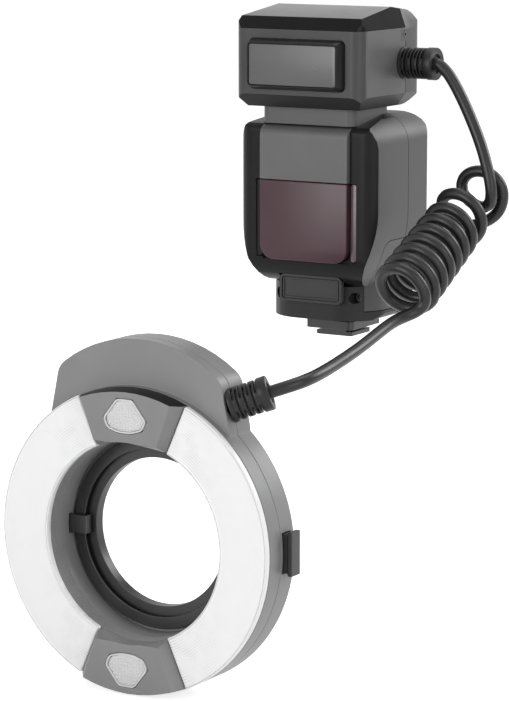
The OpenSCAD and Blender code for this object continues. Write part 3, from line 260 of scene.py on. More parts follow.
def blendColours(tree, value, first, second):
    ramp = tree.nodes.new("ShaderNodeValToRGB")
    ramp.color_ramp.elements[0].position = 0.3
    ramp.color_ramp.elements[0].color = (*first, 1.0)
    ramp.color_ramp.elements[1].position = 0.7
    ramp.color_ramp.elements[1].color = (*second, 1.0)
    tree.links.new(value, ramp.inputs["Fac"])
    return ramp.outputs["Color"]


def bumpFrom(tree, surface, value, strength, distance):
    bump = tree.nodes.new("ShaderNodeBump")
    bump.inputs["Strength"].default_value = strength
    bump.inputs["Distance"].default_value = distance
    tree.links.new(value, bump.inputs["Height"])
    tree.links.new(bump.outputs["Normal"], surface.inputs["Normal"])


def combine(tree, kind, first, second):
    node = tree.nodes.new("ShaderNodeMath")
    node.operation = kind
    tree.links.new(first, node.inputs[0])
    tree.links.new(second, node.inputs[1])
    return node.outputs[0]


# moulded plastic, rubber and metal: two close tones, uneven gloss, fine grain (metres)
broadPatch = 0.02
grainDepth = 0.00004


def mouldedFinish(name, facts):
    finish, tree, surface, place = shaderTree(name)
    broad = cloudNoise(tree, place, broadPatch)
    grain = cloudNoise(tree, place, facts.get("grain", 0.0006))
    tone = blendColours(tree, broad, facts["tone"], facts["tone2"])
    tree.links.new(tone, surface.inputs["Base Color"])
    low, high = facts["rough"]
    tree.links.new(spreadTo(tree, broad, low, high), surface.inputs["Roughness"])
    bumpFrom(tree, surface, grain, facts.get("bump", 0.25), grainDepth)
    surface.inputs["Metallic"].default_value = facts.get("metal", 0.0)
    surface.inputs["Specular IOR Level"].default_value = facts.get("spec", 0.5)
    return finish


# milky plastic with painted shade in fine grey rings round the ring's axis, strongest near its ends
diffuserLook = {
    "tone": (0.9, 0.9, 0.9),
    # grey of the painted shade in the rings
    "paintedRibShade": (0.68, 0.68, 0.69),
    "axisZ": ringCentre.z * mm,
    "pitch": 0.0011,
    "endsFrom": 0.046,
    "endsTo": 0.024,
    "faintest": 0.12,
    "patch": 0.009,
    "waver": 1.5,
    "rough": (0.3, 0.42),
    "bump": 0.15,
    "depth": 0.0001,
}


def ribShadeFinish(name, facts):
    finish, tree, surface, place = shaderTree(name)
    centred = tree.nodes.new("ShaderNodeMapping")
    centred.inputs["Location"].default_value = (0, 0, -facts["axisZ"])
    tree.links.new(place, centred.inputs["Vector"])
    rings = tree.nodes.new("ShaderNodeTexWave")
    rings.wave_type = "RINGS"
    rings.rings_direction = "Y"
    # at scale 1 the wave's rings are a twentieth of two pi apart
    rings.inputs["Scale"].default_value = 2 * math.pi / (20 * facts["pitch"])
    rings.inputs["Distortion"].default_value = facts["waver"]
    rings.inputs["Detail"].default_value = 1.0
    tree.links.new(centred.outputs["Vector"], rings.inputs["Vector"])
    apart = tree.nodes.new("ShaderNodeSeparateXYZ")
    tree.links.new(centred.outputs["Vector"], apart.inputs["Vector"])
    off = tree.nodes.new("ShaderNodeMath")
    off.operation = "ABSOLUTE"
    tree.links.new(apart.outputs["X"], off.inputs[0])
    nearEnds = spreadTo(tree, off.outputs[0], facts["faintest"], 1.0, facts["endsFrom"], facts["endsTo"])
    patchy = spreadTo(tree, cloudNoise(tree, place, facts["patch"]), 0.0, 1.0, 0.4, 0.65)
    share = combine(tree, "MULTIPLY", nearEnds, patchy)
    # the rings' crests take the painted shade
    crests = spreadTo(tree, rings.outputs["Fac"], 0.0, 1.0, 0.55, 0.95)
    ribShadeShare = combine(tree, "MULTIPLY", share, crests)
    tone = tree.nodes.new("ShaderNodeMix")
    tone.data_type = "RGBA"
    tone.inputs["A"].default_value = (*facts["tone"], 1.0)
    tone.inputs["B"].default_value = (*facts["paintedRibShade"], 1.0)
    tree.links.new(ribShadeShare, tone.inputs["Factor"])
    tree.links.new(tone.outputs["Result"], surface.inputs["Base Color"])
    low, high = facts["rough"]
    tree.links.new(spreadTo(tree, rings.outputs["Fac"], low, high), surface.inputs["Roughness"])
    bumpFrom(tree, surface, rings.outputs["Fac"], facts["bump"], facts["depth"])
    return finish


finishes = {
    # dark plastic; its darkness on the pillars is partly painted shade, and on the head's jaw and the lamp
    # block's top faces it is painted shade
    "bodyPlasticAndShade": mouldedFinish("body_plastic", {
        "tone": (0.013, 0.013, 0.0135), "tone2": (0.016, 0.016, 0.0165), "rough": (0.28, 0.34), "spec": 0.1}),
    "sidePlastic": mouldedFinish("side_plastic", {
        "tone": (0.062, 0.062, 0.063), "tone2": (0.07, 0.07, 0.071), "rough": (0.4, 0.48), "spec": 0.35}),
    "trimPlastic": mouldedFinish("trim_plastic", {
        "tone": (0.014, 0.014, 0.0145), "tone2": (0.018, 0.018, 0.0185), "rough": (0.34, 0.42), "spec": 0.3}),
    "panelPlastic": mouldedFinish("panel_plastic", {
        "tone": (0.12, 0.12, 0.121), "tone2": (0.132, 0.132, 0.133), "rough": (0.36, 0.42), "spec": 0.3}),
    "headPlastic": mouldedFinish("head_plastic", {
        "tone": (0.066, 0.066, 0.067), "tone2": (0.073, 0.073, 0.074), "rough": (0.3, 0.36), "spec": 0.18}),
    # painted light: a lighter copy of the head plastic for the head's side faces
    "headSidePaintedLight": mouldedFinish("head_side_painted_light", {
        "tone": (0.1, 0.1, 0.101), "tone2": (0.112, 0.112, 0.113), "rough": (0.32, 0.38), "spec": 0.3}),
    "bandPlastic": mouldedFinish("band_plastic", {
        "tone": (0.006, 0.006, 0.006), "tone2": (0.008, 0.008, 0.008), "rough": (0.4, 0.46), "spec": 0.02}),
    "neckPlastic": mouldedFinish("neck_plastic", {
        "tone": (0.1, 0.1, 0.101), "tone2": (0.11, 0.11, 0.111), "rough": (0.34, 0.4), "spec": 0.25}),
    "platePlastic": mouldedFinish("plate_plastic", {
        "tone": (0.045, 0.045, 0.046), "tone2": (0.051, 0.051, 0.052), "rough": (0.34, 0.4), "spec": 0.2}),
    "basePlastic": mouldedFinish("base_plastic", {
        "tone": (0.03, 0.03, 0.031), "tone2": (0.034, 0.034, 0.035), "rough": (0.34, 0.4), "spec": 0.15}),
    "borePlastic": mouldedFinish("bore_plastic", {
        "tone": (0.25, 0.25, 0.251), "tone2": (0.28, 0.28, 0.281), "rough": (0.36, 0.44), "spec": 0.4}),
    "glandRubber": mouldedFinish("gland_rubber", {
        "tone": (0.012, 0.012, 0.012), "tone2": (0.016, 0.016, 0.016), "rough": (0.36, 0.44), "spec": 0.3}),
    "ringPlastic": mouldedFinish("ring_plastic", {
        "tone": (0.2, 0.2, 0.201), "tone2": (0.22, 0.22, 0.221), "rough": (0.38, 0.46)}),
    "glossBlack": mouldedFinish("gloss_black", {
        "tone": (0.005, 0.005, 0.005), "tone2": (0.007, 0.007, 0.007), "rough": (0.14, 0.2), "spec": 0.12,
        "bump": 0.06}),
    "headWindow": mouldedFinish("head_window", {
        "tone": (0.085, 0.085, 0.086), "tone2": (0.095, 0.095, 0.096), "rough": (0.22, 0.28), "bump": 0.08}),
    "windowFrame": mouldedFinish("window_frame", {
        "tone": (0.01, 0.01, 0.0105), "tone2": (0.013, 0.013, 0.0135), "rough": (0.26, 0.32), "spec": 0.16}),
    "redWindow": mouldedFinish("red_window", {
        "tone": (0.045, 0.014, 0.022), "tone2": (0.052, 0.017, 0.026), "rough": (0.34, 0.38), "bump": 0.02,
        "spec": 0.42}),
    # painted reflection: the pale face of the right window strip
    "stripPaintedReflection": mouldedFinish("strip_painted_reflection", {
        "tone": (0.1, 0.075, 0.085), "tone2": (0.12, 0.09, 0.1), "rough": (0.2, 0.26), "bump": 0.02}),
    "buttonPlastic": mouldedFinish("button_plastic", {
        "tone": (0.02, 0.02, 0.021), "tone2": (0.026, 0.026, 0.027), "rough": (0.4, 0.5)}),
    "testRed": mouldedFinish("test_red", {
        "tone": (0.45, 0.02, 0.015), "tone2": (0.52, 0.03, 0.02), "rough": (0.3, 0.36), "bump": 0.05}),
    "steel": mouldedFinish("steel", {
        "tone": (0.55, 0.55, 0.56), "tone2": (0.63, 0.63, 0.64), "rough": (0.26, 0.36), "metal": 1.0,
        "bump": 0.1}),
    "darkSteel": mouldedFinish("dark_steel", {
        "tone": (0.1, 0.1, 0.102), "tone2": (0.13, 0.13, 0.132), "rough": (0.3, 0.38), "metal": 1.0,
        "bump": 0.1}),
    "goldContact": mouldedFinish("gold_contact", {
        "tone": (0.83, 0.6, 0.22), "tone2": (0.9, 0.68, 0.28), "rough": (0.2, 0.3), "metal": 1.0,
        "bump": 0.05}),
    "rubber": mouldedFinish("rubber", {
        "tone": (0.013, 0.013, 0.013), "tone2": (0.017, 0.017, 0.017), "rough": (0.3, 0.38), "grain": 0.0004,
        "spec": 0.35}),
    "diffuserWhite": ribShadeFinish("diffuser_white", diffuserLook),
    "clearLens": mouldedFinish("clear_lens", {
        "tone": (0.6, 0.6, 0.6), "tone2": (0.7, 0.7, 0.7), "rough": (0.12, 0.18), "bump": 0.05}),
    "reflectorMetal": mouldedFinish("reflector_metal", {
        "tone": (0.8, 0.8, 0.8), "tone2": (0.88, 0.88, 0.88), "rough": (0.12, 0.2), "metal": 1.0,
        "bump": 0.05}),
    "tubeGlass": mouldedFinish("tube_glass", {
        "tone": (0.75, 0.78, 0.78), "tone2": (0.82, 0.85, 0.85), "rough": (0.05, 0.1), "bump": 0.02}),
    "displayGlass": mouldedFinish("display_glass", {
        "tone": (0.012, 0.014, 0.016), "tone2": (0.016, 0.018, 0.02), "rough": (0.06, 0.1), "bump": 0.02}),
    "blackAluminium": mouldedFinish("black_aluminium", {
        "tone": (0.04, 0.04, 0.041), "tone2": (0.05, 0.05, 0.051), "rough": (0.3, 0.38), "metal": 0.6,
        "bump": 0.1}),
    "circuitBoard": mouldedFinish("circuit_board", {
        "tone": (0.01, 0.08, 0.03), "tone2": (0.015, 0.1, 0.04), "rough": (0.3, 0.4)}),
    "cellSleeve": mouldedFinish("cell_sleeve", {
        "tone": (0.05, 0.16, 0.12), "tone2": (0.06, 0.18, 0.14), "rough": (0.25, 0.32), "bump": 0.05}),
    "winding": mouldedFinish("winding", {
        "tone": (0.5, 0.25, 0.08), "tone2": (0.6, 0.32, 0.1), "rough": (0.3, 0.4)}),
    "capacitorSleeve": mouldedFinish("capacitor_sleeve", {
        "tone": (0.02, 0.03, 0.06), "tone2": (0.03, 0.04, 0.08), "rough": (0.3, 0.4)}),
    "led": mouldedFinish("led", {
        "tone": (0.8, 0.75, 0.45), "tone2": (0.86, 0.82, 0.55), "rough": (0.2, 0.3)}),
}
print("finishes made,", len(finishes))


# the cord: one length from the head to the ring, with a loose loop and a coil
cordFacts = {
    "thick": 5.35,
    "length": 0.815,
    "leaves": (49.1, -3.8, 125.8),
    "upper": [
        (55.7, -2.5, 120), (59.3, -1.6, 113.5), (62.9, -1.6, 107), (67, -2, 99), (71.5, -3, 90), (76, -5, 79),
        (78, -5.5, 71.5), (78, -5, 65), (73.5, -2.5, 62), (67.5, 0, 63), (61.5, 2, 65), (58, 2.5, 70),
        (59, 2, 75), (64, 1.5, 78.5), (71, 1, 79), (77.5, 1.5, 76), (80, 3, 70), (79, 3, 62)],
    "lower": [
        (77.5, -66, 27), (73.5, -67.5, 24), (69.5, -73, 22.5), (68, -79, 21), (67.5, -90, 18),
        (67.5, -107, 13.8), (67.5, -124, 10.5), (67.5, -141, 7.8), (66, -153, 6)],
    "ringGland": (41.6, -167.7, -3.4),
    "ringGlandAim": (0.85, 0.41, 0.335),
    "glandLong": 16.4,
    "coilFrom": (66, -10.5, 60),
    "coilAim": (0, -0.891, -0.454),
    "coilRadius": 11,
    "coilFlare": 0.14,
    "coilPitch": 7.9,
    "coilEase": 5.4,
    "coilEaseTurns": 3,
    "coilTurns": (-0.53, 7.2),
    "coilStartAngle": 96,
    "coilSteps": 720,
    "glandLead": 3,
    "coilLead": 2,
    "ringLead": 4,
    "linePasses": 3,
    "step": 0.8,
    "heldEnds": 2,
    "easeShare": 0.5,
    "easePasses": 70,
    "easeIntoCoil": 14.0,
    "stretchFrom": (0.066, 0.003, 0.065),
    "stretchTo": (0.066, -0.063, 0.033),
}


def easedLine(points):
    line = []
    for i, point in enumerate(points):
        line.append(point)
        if 1 <= i <= len(points) - 3:
            line.append((9 * (point + points[i + 1]) - points[i - 1] - points[i + 2]) / 16)
    return line


def evenSteps(points, step):
    line = [points[0]]
    carried = 0.0
    for first, second in zip(points, points[1:]):
        run = (second - first).length
        while run > 0 and carried + run >= step:
            first = first + (second - first) * ((step - carried) / run)
            run = (second - first).length
            carried = 0.0
            line.append(first)
        carried += run
    line.append(points[-1])
    return line


def easedTogether(upper, coil, lower, facts):
    # the bends of the runs open out, and the coil's own turns stay
    upper = evenSteps(upper, facts["step"])
    lower = evenSteps(lower, facts["step"])
    line = upper + coil + lower
    held = facts["heldEnds"]
    reach = facts["easeIntoCoil"]
    shares = []
    for i, point in enumerate(line):
        if i < held or i >= len(line) - held:
            shares.append(0.0)
        elif len(upper) <= i < len(upper) + len(coil):
            near = min((point - coil[0]).length, (point - coil[-1]).length)
            shares.append(max(0.0, facts["easeShare"] * (1 - near / reach)))
        else:
            shares.append(facts["easeShare"])
    for _ in range(facts["easePasses"]):
        eased = list(line)
        for i in range(1, len(line) - 1):
            eased[i] = line[i].lerp((line[i - 1] + line[i + 1]) / 2, shares[i])
        line = eased
    return line


def cordLine(facts):
    aim = Vector(facts["coilAim"]).normalized()
    right = Vector((1, 0, 0))
    up = aim.cross(right)

    def coilPoint(turns):
        angle = math.radians(facts["coilStartAngle"] - 360 * turns)
        opened = 1 - max(0, 1 - turns / facts["coilEaseTurns"]) ** 3
        run = facts["coilPitch"] * turns + facts["coilEase"] * opened
        radius = facts["coilRadius"] + facts["coilFlare"] * turns
        outward = math.cos(angle) * right + math.sin(angle) * up
        return Vector(facts["coilFrom"]) + run * aim + radius * outward

    def coilAimAt(turns):
        return (coilPoint(turns + 0.001) - coilPoint(turns - 0.001)).normalized()

    first, last = facts["coilTurns"]
    steps = facts["coilSteps"]
    coil = [coilPoint(first + (last - first) * i / steps) for i in range(steps + 1)]
    coilStart = coil[0] - coilAimAt(first) * facts["thick"]
    coilEnd = coil[-1] + coilAimAt(last) * facts["thick"]
    leaves = Vector(facts["leaves"])
    ringAim = Vector(facts["ringGlandAim"]).normalized()
    arrives = Vector(facts["ringGland"]) + ringAim * facts["glandLong"]
    upper = [leaves, leaves + Vector((facts["glandLead"], 0, 0))] + [Vector(p) for p in facts["upper"]]
    upper += [coilStart - coilAimAt(first) * facts["coilLead"], coilStart]
    lower = [coilEnd, coilEnd + coilAimAt(last) * facts["coilLead"]] + [Vector(p) for p in facts["lower"]]
    lower += [arrives + ringAim * facts["ringLead"], arrives]
    for _ in range(facts["linePasses"]):
        upper = easedLine(upper)
        lower = easedLine(lower)
    return [point * mm for point in easedTogether(upper, coil, lower, facts)]


def addCord(facts):
    line = cordLine(facts)
    curve = bpy.data.curves.new("cord", "CURVE")
    curve.dimensions = "3D"
    spline = curve.splines.new("POLY")
    spline.points.add(len(line) - 1)
    for place, point in zip(spline.points, line):
        place.co = (*point, 1.0)
    curve.bevel_depth = facts["thick"] * mm / 2
    curve.bevel_resolution = 4
    curve.use_fill_caps = True
    curve.twist_mode = "MINIMUM"
    cord = bpy.data.objects.new("cord", curve)
    bpy.context.scene.collection.objects.link(cord)
    makeActive(cord)
    bpy.ops.object.convert(target="MESH")
    cord = bpy.context.object
    mendNormals(cord)
    smoothByAngle(cord, 60)
    cord.data.materials.append(finishes["rubber"])
    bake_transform(cord)
    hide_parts("cord_upper", "cord_coil", "cord_lower")


addCord(cordFacts)
print("cord laid")


# shells and covers: the frame's own shapes with their edges eased
easedFacts = {
    # node: (eased edge mm, body, slot, finish)
    "front_shell": (0.35, "control_unit", "body_plastic", "bodyPlasticAndShade"),
    "rear_shell": (0.35, "control_unit", "body_plastic", "sidePlastic"),
    "front_panel": (0.3, "control_unit", "trim_plastic", "panelPlastic"),
    "neck": (0.3, "control_unit", "trim_plastic", "neckPlastic"),
    "head_front_shell": (0.4, "control_unit", "body_plastic", "headPlastic"),
    "head_rear_shell": (0.4, "control_unit", "body_plastic", "sidePlastic"),
    "head_top_cap": (0.35, "control_unit", "gloss_black", "glossBlack"),
    "battery_door": (0.25, "door", "body_plastic", "sidePlastic"),
    "shoe_foot": (0.25, "control_unit", "black_aluminium", "blackAluminium"),
    "lock_ring": (0.2, "shoe_lock", "button_plastic", "buttonPlastic"),
    "key_one": (0.35, "key_1", "button_plastic", "buttonPlastic"),
    "key_two": (0.35, "key_2", "button_plastic", "buttonPlastic"),
    "key_three": (0.35, "key_3", "button_plastic", "buttonPlastic"),
    "key_four": (0.35, "key_4", "button_plastic", "buttonPlastic"),
    "set_button": (0.3, "set_key", "button_plastic", "buttonPlastic"),
    "power_switch": (0.25, "switch", "trim_plastic", "trimPlastic"),
    "test_button": (0.3, "test_key", "test_red", "testRed"),
    "ring_front_case": (0.4, "ring_head", "body_plastic", "ringPlastic"),
    "ring_rear_case": (0.4, "ring_head", "body_plastic", "ringPlastic"),
    "lamp_block_top": (0.4, "ring_head", "body_plastic", "ringPlastic"),
    "lamp_block_bottom": (0.4, "ring_head", "body_plastic", "ringPlastic"),
    "bore_sleeve": (0.15, "ring_head", "body_plastic", "borePlastic"),
    "release_left": (0.25, "left_release", "button_plastic", "buttonPlastic"),
    "release_right": (0.25, "right_release", "button_plastic", "buttonPlastic"),
    "lens_adapter": (0.25, "adapter", "black_aluminium", "blackAluminium"),
}
# shells with short edges: points this close (mm) are merged first, and the bevel is held in
fineEdged = {
    "front_shell": 0.12, "rear_shell": 0.12, "head_front_shell": 0.15, "head_rear_shell": 0.15,
    "head_top_cap": 0.15}
# shells whose shallow creases are eased too
creased = ["front_shell", "rear_shell"]
baseTop = 26
sidesFrom = 20


def onSide(face):
    return abs(face.normal.x) > 0.5 and face.normal.y > -0.25 and abs(face.center.x) > sidesFrom * mm


# faces that turn down, where the head's jaw gets painted shade
def jawInPaintedShade(face):
    return face.normal.z < -0.2


# where a shell has more finishes: past the pillars, where the front shell's side faces are lighter as painted
# light; round the head, with painted light on its sides and painted shade under its jaw; on the base; and on
# a lamp block, with painted shade on its top faces
moreFinishes = {
    # the front shell's side faces take the lighter plastic: painted light on the sides against the pillars'
    # painted shade
    "front_shell": [("sidePlastic", onSide)],
    # the head's side faces get painted light and its jaw painted shade
    "head_front_shell": [("headSidePaintedLight", onSide), ("bodyPlasticAndShade", jawInPaintedShade)],
    "head_top_cap": [("bandPlastic", onSide)],
    "rear_shell": [("basePlastic", lambda face: face.center.z < baseTop * mm)],
    # the lamp block's upward faces, under the arch's lip, get the dark plastic as painted shade
    "lamp_block_top": [("bodyPlasticAndShade", lambda face: face.normal.z > 0.5)],
}
for node, (width, body, slot, finishName) in easedFacts.items():
    angle = 20 if node in creased else 35
    merge = fineEdged.get(node, 0.01)
    piece = easedCopy("eased_" + node, node, width, merge, node in fineEdged, angle)
    settle(piece, body, slot, finishes[finishName], node)
    for index, (otherName, wanted) in enumerate(moreFinishes.get(node, []), start=1):
        piece.data.materials.append(finishes[otherName])
        for face in piece.data.polygons:
            if wanted(face):
                face.material_index = index
print("eased", len(easedFacts), "shells and covers")


# a slab with some of its corners round
def roundedSlab(name, low, high, corner, wanted=None, segments=8):
    low = Vector(low) * mm
    high = Vector(high) * mm
    bpy.ops.mesh.primitive_cube_add(size=1, location=(low + high) / 2)
    piece = bpy.context.object
    piece.name = name
    piece.scale = high - low
    applyPlace(piece)
    startEdit(piece)

    def isCorner(edge):
        run = (edge.verts[0].co - edge.verts[1].co).normalized()
        return abs(run.y) > 0.9 and (wanted is None or wanted(middle(edge)))

    pickEdges(piece, isCorner)
    bpy.ops.mesh.bevel(offset=corner * mm, segments=segments)
    endEdit()
    return piece


def stepFace(inset, push):
    # the picked face gets a border, and what is inside it moves along y
    bpy.ops.mesh.inset(thickness=inset * mm)
    bpy.ops.mesh.extrude_region_move(TRANSFORM_OT_translate={"value": (0, push * mm, 0)})


# red window, with a strip in the pillar at each side of it; the right strip is painted pale as a painted
# reflection and the left one takes the dark frame plastic
redWindowFacts = {
    "half": 22.5,
    "low": 37.5,
    "high": 73.45,
    "front": -38.0,
    "seat": -33.3,
    "corner": 7.0,
    "edge": 0.5,
    "stripFrom": 22.75,
    "stripTo": 25.85,
    "stripLow": 38.3,
    "stripHigh": 73.3,
    "stripFront": -34.9,
    "stripCorner": 1.4,
    "stripEdge": 0.3,
    "strips": [("window_strip_right", 1, "stripPaintedReflection"), ("window_strip_left", -1, "windowFrame")],
}


def addRedWindow(facts):
    lowCorner = (-facts["half"], facts["front"], facts["low"])
    highCorner = (facts["half"], facts["seat"], facts["high"])
    centreZ = (facts["low"] + facts["high"]) / 2
    piece = roundedSlab(
        "red_window_slab", lowCorner, highCorner, facts["corner"], lambda spot: spot.z < centreZ * mm)
    softEdges(piece, facts["edge"] * mm, 40, 3)
    smoothByAngle(piece, 40)
    settle(piece, "control_unit", "red_window", finishes["redWindow"], "af_window")
    for name, side, look in facts["strips"]:
        near, far = sorted((side * facts["stripFrom"], side * facts["stripTo"]))
        strip = roundedSlab(
            name, (near, facts["stripFront"], facts["stripLow"]), (far, facts["seat"], facts["stripHigh"]),
            facts["stripCorner"])
        softEdges(strip, facts["stripEdge"] * mm, 40, 3)
        smoothByAngle(strip, 40)
        settle(strip, "control_unit", "red_window", finishes[look])


addRedWindow(redWindowFacts)
print("red window modelled")


# front plate: a frame, a groove, a second frame and a bare field
plateFacts = {
    "half": 16.0,
    "low": 17.9,
    "high": 30.3,
    "front": -31.0,
    "back": -28.5,
    "corner": 2.4,
    "edge": 0.12,
    "steps": [(1.1, 1.1), (0.45, -0.9), (0.7, 0.6)],  # border, then how far the inside moves back
}


def addFrontPlate(facts):
    lowCorner = (-facts["half"], facts["front"], facts["low"])
    highCorner = (facts["half"], facts["back"], facts["high"])
    piece = roundedSlab("front_plate_frame", lowCorner, highCorner, facts["corner"], segments=4)
    startEdit(piece)
    pickFaces(piece, lambda f: f.normal.y < -0.9)
    for inset, push in facts["steps"]:
        stepFace(inset, push)
    endEdit()
    softEdges(piece, facts["edge"] * mm, 40, 2, clamp=True)
    smoothByAngle(piece, 40)
    evenNormals(piece)
    settle(piece, "control_unit", "trim_plastic", finishes["platePlastic"], "front_plate")


addFrontPlate(plateFacts)
print("front plate modelled")


# head window: a raised black frame with a softly crowned grey face in it
headWindowFacts = {
    "wide": 49.5,
    "tall": 23.4,
    "centreZ": 126.1,
    "base": -43.0,
    "face": -48.7,
    "corner": 2.5,
    "draft": 1.8,
    "rim": 0.7,
    "sunk": 1.2,
    "gap": 0.12,
    "crown": 0.35,
    "edge": 0.3,
    "faceCorner": 1.2,
    "faceBelow": 0.1,  # the face's middle stays this far under the rim
    "faceSeat": 0.05,
    "parts": 24,
}


def addHeadWindow(facts):
    halfWide = facts["wide"] / 2
    low = facts["centreZ"] - facts["tall"] / 2
    high = facts["centreZ"] + facts["tall"] / 2
    piece = roundedSlab(
        "head_window_frame", (-halfWide, facts["face"], low),
        (halfWide, facts["base"], high), facts["corner"])
    startEdit(piece)
    pickFaces(piece, lambda f: f.normal.y < -0.9)
    # the sides lean in towards the face
    bpy.ops.transform.resize(
        value=(1 - 2 * facts["draft"] / facts["wide"], 1, 1 - 2 * facts["draft"] / facts["tall"]))
    stepFace(facts["rim"], facts["sunk"])
    endEdit()
    softEdges(piece, facts["edge"] * mm, 35, 3)
    smoothByAngle(piece, 30)
    settle(piece, "control_unit", "head_window", finishes["windowFrame"], "head_window")

    inside = facts["draft"] + facts["rim"] + facts["gap"]
    faceFront = facts["face"] + facts["crown"] + facts["faceBelow"]
    faceBack = facts["face"] + facts["sunk"] - facts["faceSeat"]
    face = roundedSlab(
        "head_window_face", (-halfWide + inside, faceFront, low + inside),
        (halfWide - inside, faceBack, high - inside), facts["faceCorner"])
    startEdit(face)
    for part in range(1, facts["parts"]):
        bpy.ops.mesh.select_all(action="SELECT")
        across = -halfWide + inside + (facts["wide"] - 2 * inside) * part / facts["parts"]
        bpy.ops.mesh.bisect(plane_co=(across * mm, 0, 0), plane_no=(1, 0, 0))
    # the front swells a little towards its middle
    shape = bmesh.from_edit_mesh(face.data)
    for vert in shape.verts:
        if vert.co.y < (faceFront + faceBack) / 2 * mm:
            vert.co.y -= facts["crown"] * (1 - (vert.co.x / (halfWide * mm)) ** 2) * mm
    bmesh.update_edit_mesh(face.data)
    endEdit()
    softEdges(face, facts["edge"] * mm, 50, 3)
    smoothByAngle(face, 30)
    settle(face, "control_unit", "head_window", finishes["headWindow"])


addHeadWindow(headWindowFacts)
print("head window modelled")


# cord glands: a stack of broken rings, a collar and a hollow round the cord
glandFacts = {
    "radius": 7.0,
    "proud": 0.3,
    "long": cordFacts["glandLong"],
    "sunk": 0.8,
    "firstSlot": 1.4,
    "slotPitch": 1.65,
    "slotWide": 0.8,
    "slots": 7,
    "slotDeep": 1.5,
    "bridge": 24,  # half a bridge, in degrees
    "foot": 0.9,
    "collarGap": 0.5,
    "mouth": 4.4,
    "mouthWide": 1.5,
    "mouthDeep": 1.2,
    "edge": 0.22,
    "sides": 48,
    "places": [
        # name, node, body, start, aim
        ("gland_head", "head_gland", "control_unit", (32.7, -3.8, 125.8), (1, 0, 0)),
        ("gland_ring", "ring_gland", "ring_head", cordFacts["ringGland"], cordFacts["ringGlandAim"]),
    ],
}


def addGland(name, node, body, start, aim, facts):
    long = facts["long"] + facts["sunk"]
    bpy.ops.mesh.primitive_cylinder_add(
        vertices=facts["sides"], radius=facts["radius"] * mm, depth=long * mm, end_fill_type="NGON",
        location=(0, 0, (long / 2 - facts["sunk"]) * mm))
    piece = bpy.context.object
    piece.name = name
    applyPlace(piece)
    slotStarts = [facts["firstSlot"] + facts["slotPitch"] * i for i in range(facts["slots"])]
    collarFrom = slotStarts[-1] + facts["slotWide"] + facts["collarGap"]
    startEdit(piece)
    for height in [facts["foot"], collarFrom] + slotStarts + [z + facts["slotWide"] for z in slotStarts]:
        bpy.ops.mesh.select_all(action="SELECT")
        bpy.ops.mesh.bisect(plane_co=(0, 0, height * mm), plane_no=(0, 0, 1))

    def onWall(face):
        return abs(face.normal.z) < 0.1

    def swell(amount):
        bpy.ops.mesh.extrude_region_shrink_fatten(TRANSFORM_OT_shrink_fatten={"value": amount * mm})

    # collar and foot stand proud
    pickFaces(piece, lambda f: onWall(f) and f.calc_center_median().z > collarFrom * mm)
    swell(facts["proud"])
    pickFaces(piece, lambda f: onWall(f) and f.calc_center_median().z < facts["foot"] * mm)
    swell(facts["proud"])
    # each slot leaves two bridges, turned a quarter from row to row
    for row, low in enumerate(slotStarts):
        def inSlot(face):
            spot = face.calc_center_median()
            turn = math.degrees(math.atan2(spot.y, spot.x)) + 90 * (row % 2)
            off = abs((turn + 90) % 180 - 90)
            inRow = low * mm < spot.z < (low + facts["slotWide"]) * mm
            return onWall(face) and inRow and off > facts["bridge"]

        pickFaces(piece, inSlot)
        swell(-facts["slotDeep"])

    # the open end: a ring-shaped hollow round the cord
    def onEnd(face):
        return face.normal.z > 0.9 and face.calc_center_median().z > facts["long"] * mm - sameSpot

    def inMouth(face):
        off = face.calc_center_median().xy.length / mm
        return face.normal.z > 0.9 and facts["mouth"] - facts["mouthWide"] < off < facts["mouth"]

    pickFaces(piece, lambda f: onEnd(f) and len(f.verts) > 8)
    bpy.ops.mesh.inset(thickness=(facts["radius"] - facts["mouth"]) * mm)
    bpy.ops.mesh.inset(thickness=facts["mouthWide"] * mm)
    pickFaces(piece, inMouth)
    swell(-facts["mouthDeep"])
    endEdit()
    softEdges(piece, facts["edge"] * mm, 40)
    smoothByAngle(piece, 35)
    piece.location = Vector(start) * mm
    piece.rotation_euler = Vector(aim).to_track_quat("Z", "Y").to_euler()
    applyPlace(piece)
    settle(piece, body, "rubber", finishes["glandRubber"], node)


for placed in glandFacts["places"]:
    addGland(*placed, glandFacts)
print("glands modelled")


# flash diffusers: a ribbed profile spun round the ring's axis
diffuserFacts = {
    "inner": 42.5,
    "outer": 65.0,
    "back": 19.8,
    "front": 23.0,
    "ribs": 18,
    "ribDeep": 0.2,
    "half": 66.3,
    "steps": 96,
    "edge": 0.7,
    "sides": [("diffuser_right_lens", "diffuser_right", 0), ("diffuser_left_lens", "diffuser_left", 180)],
}


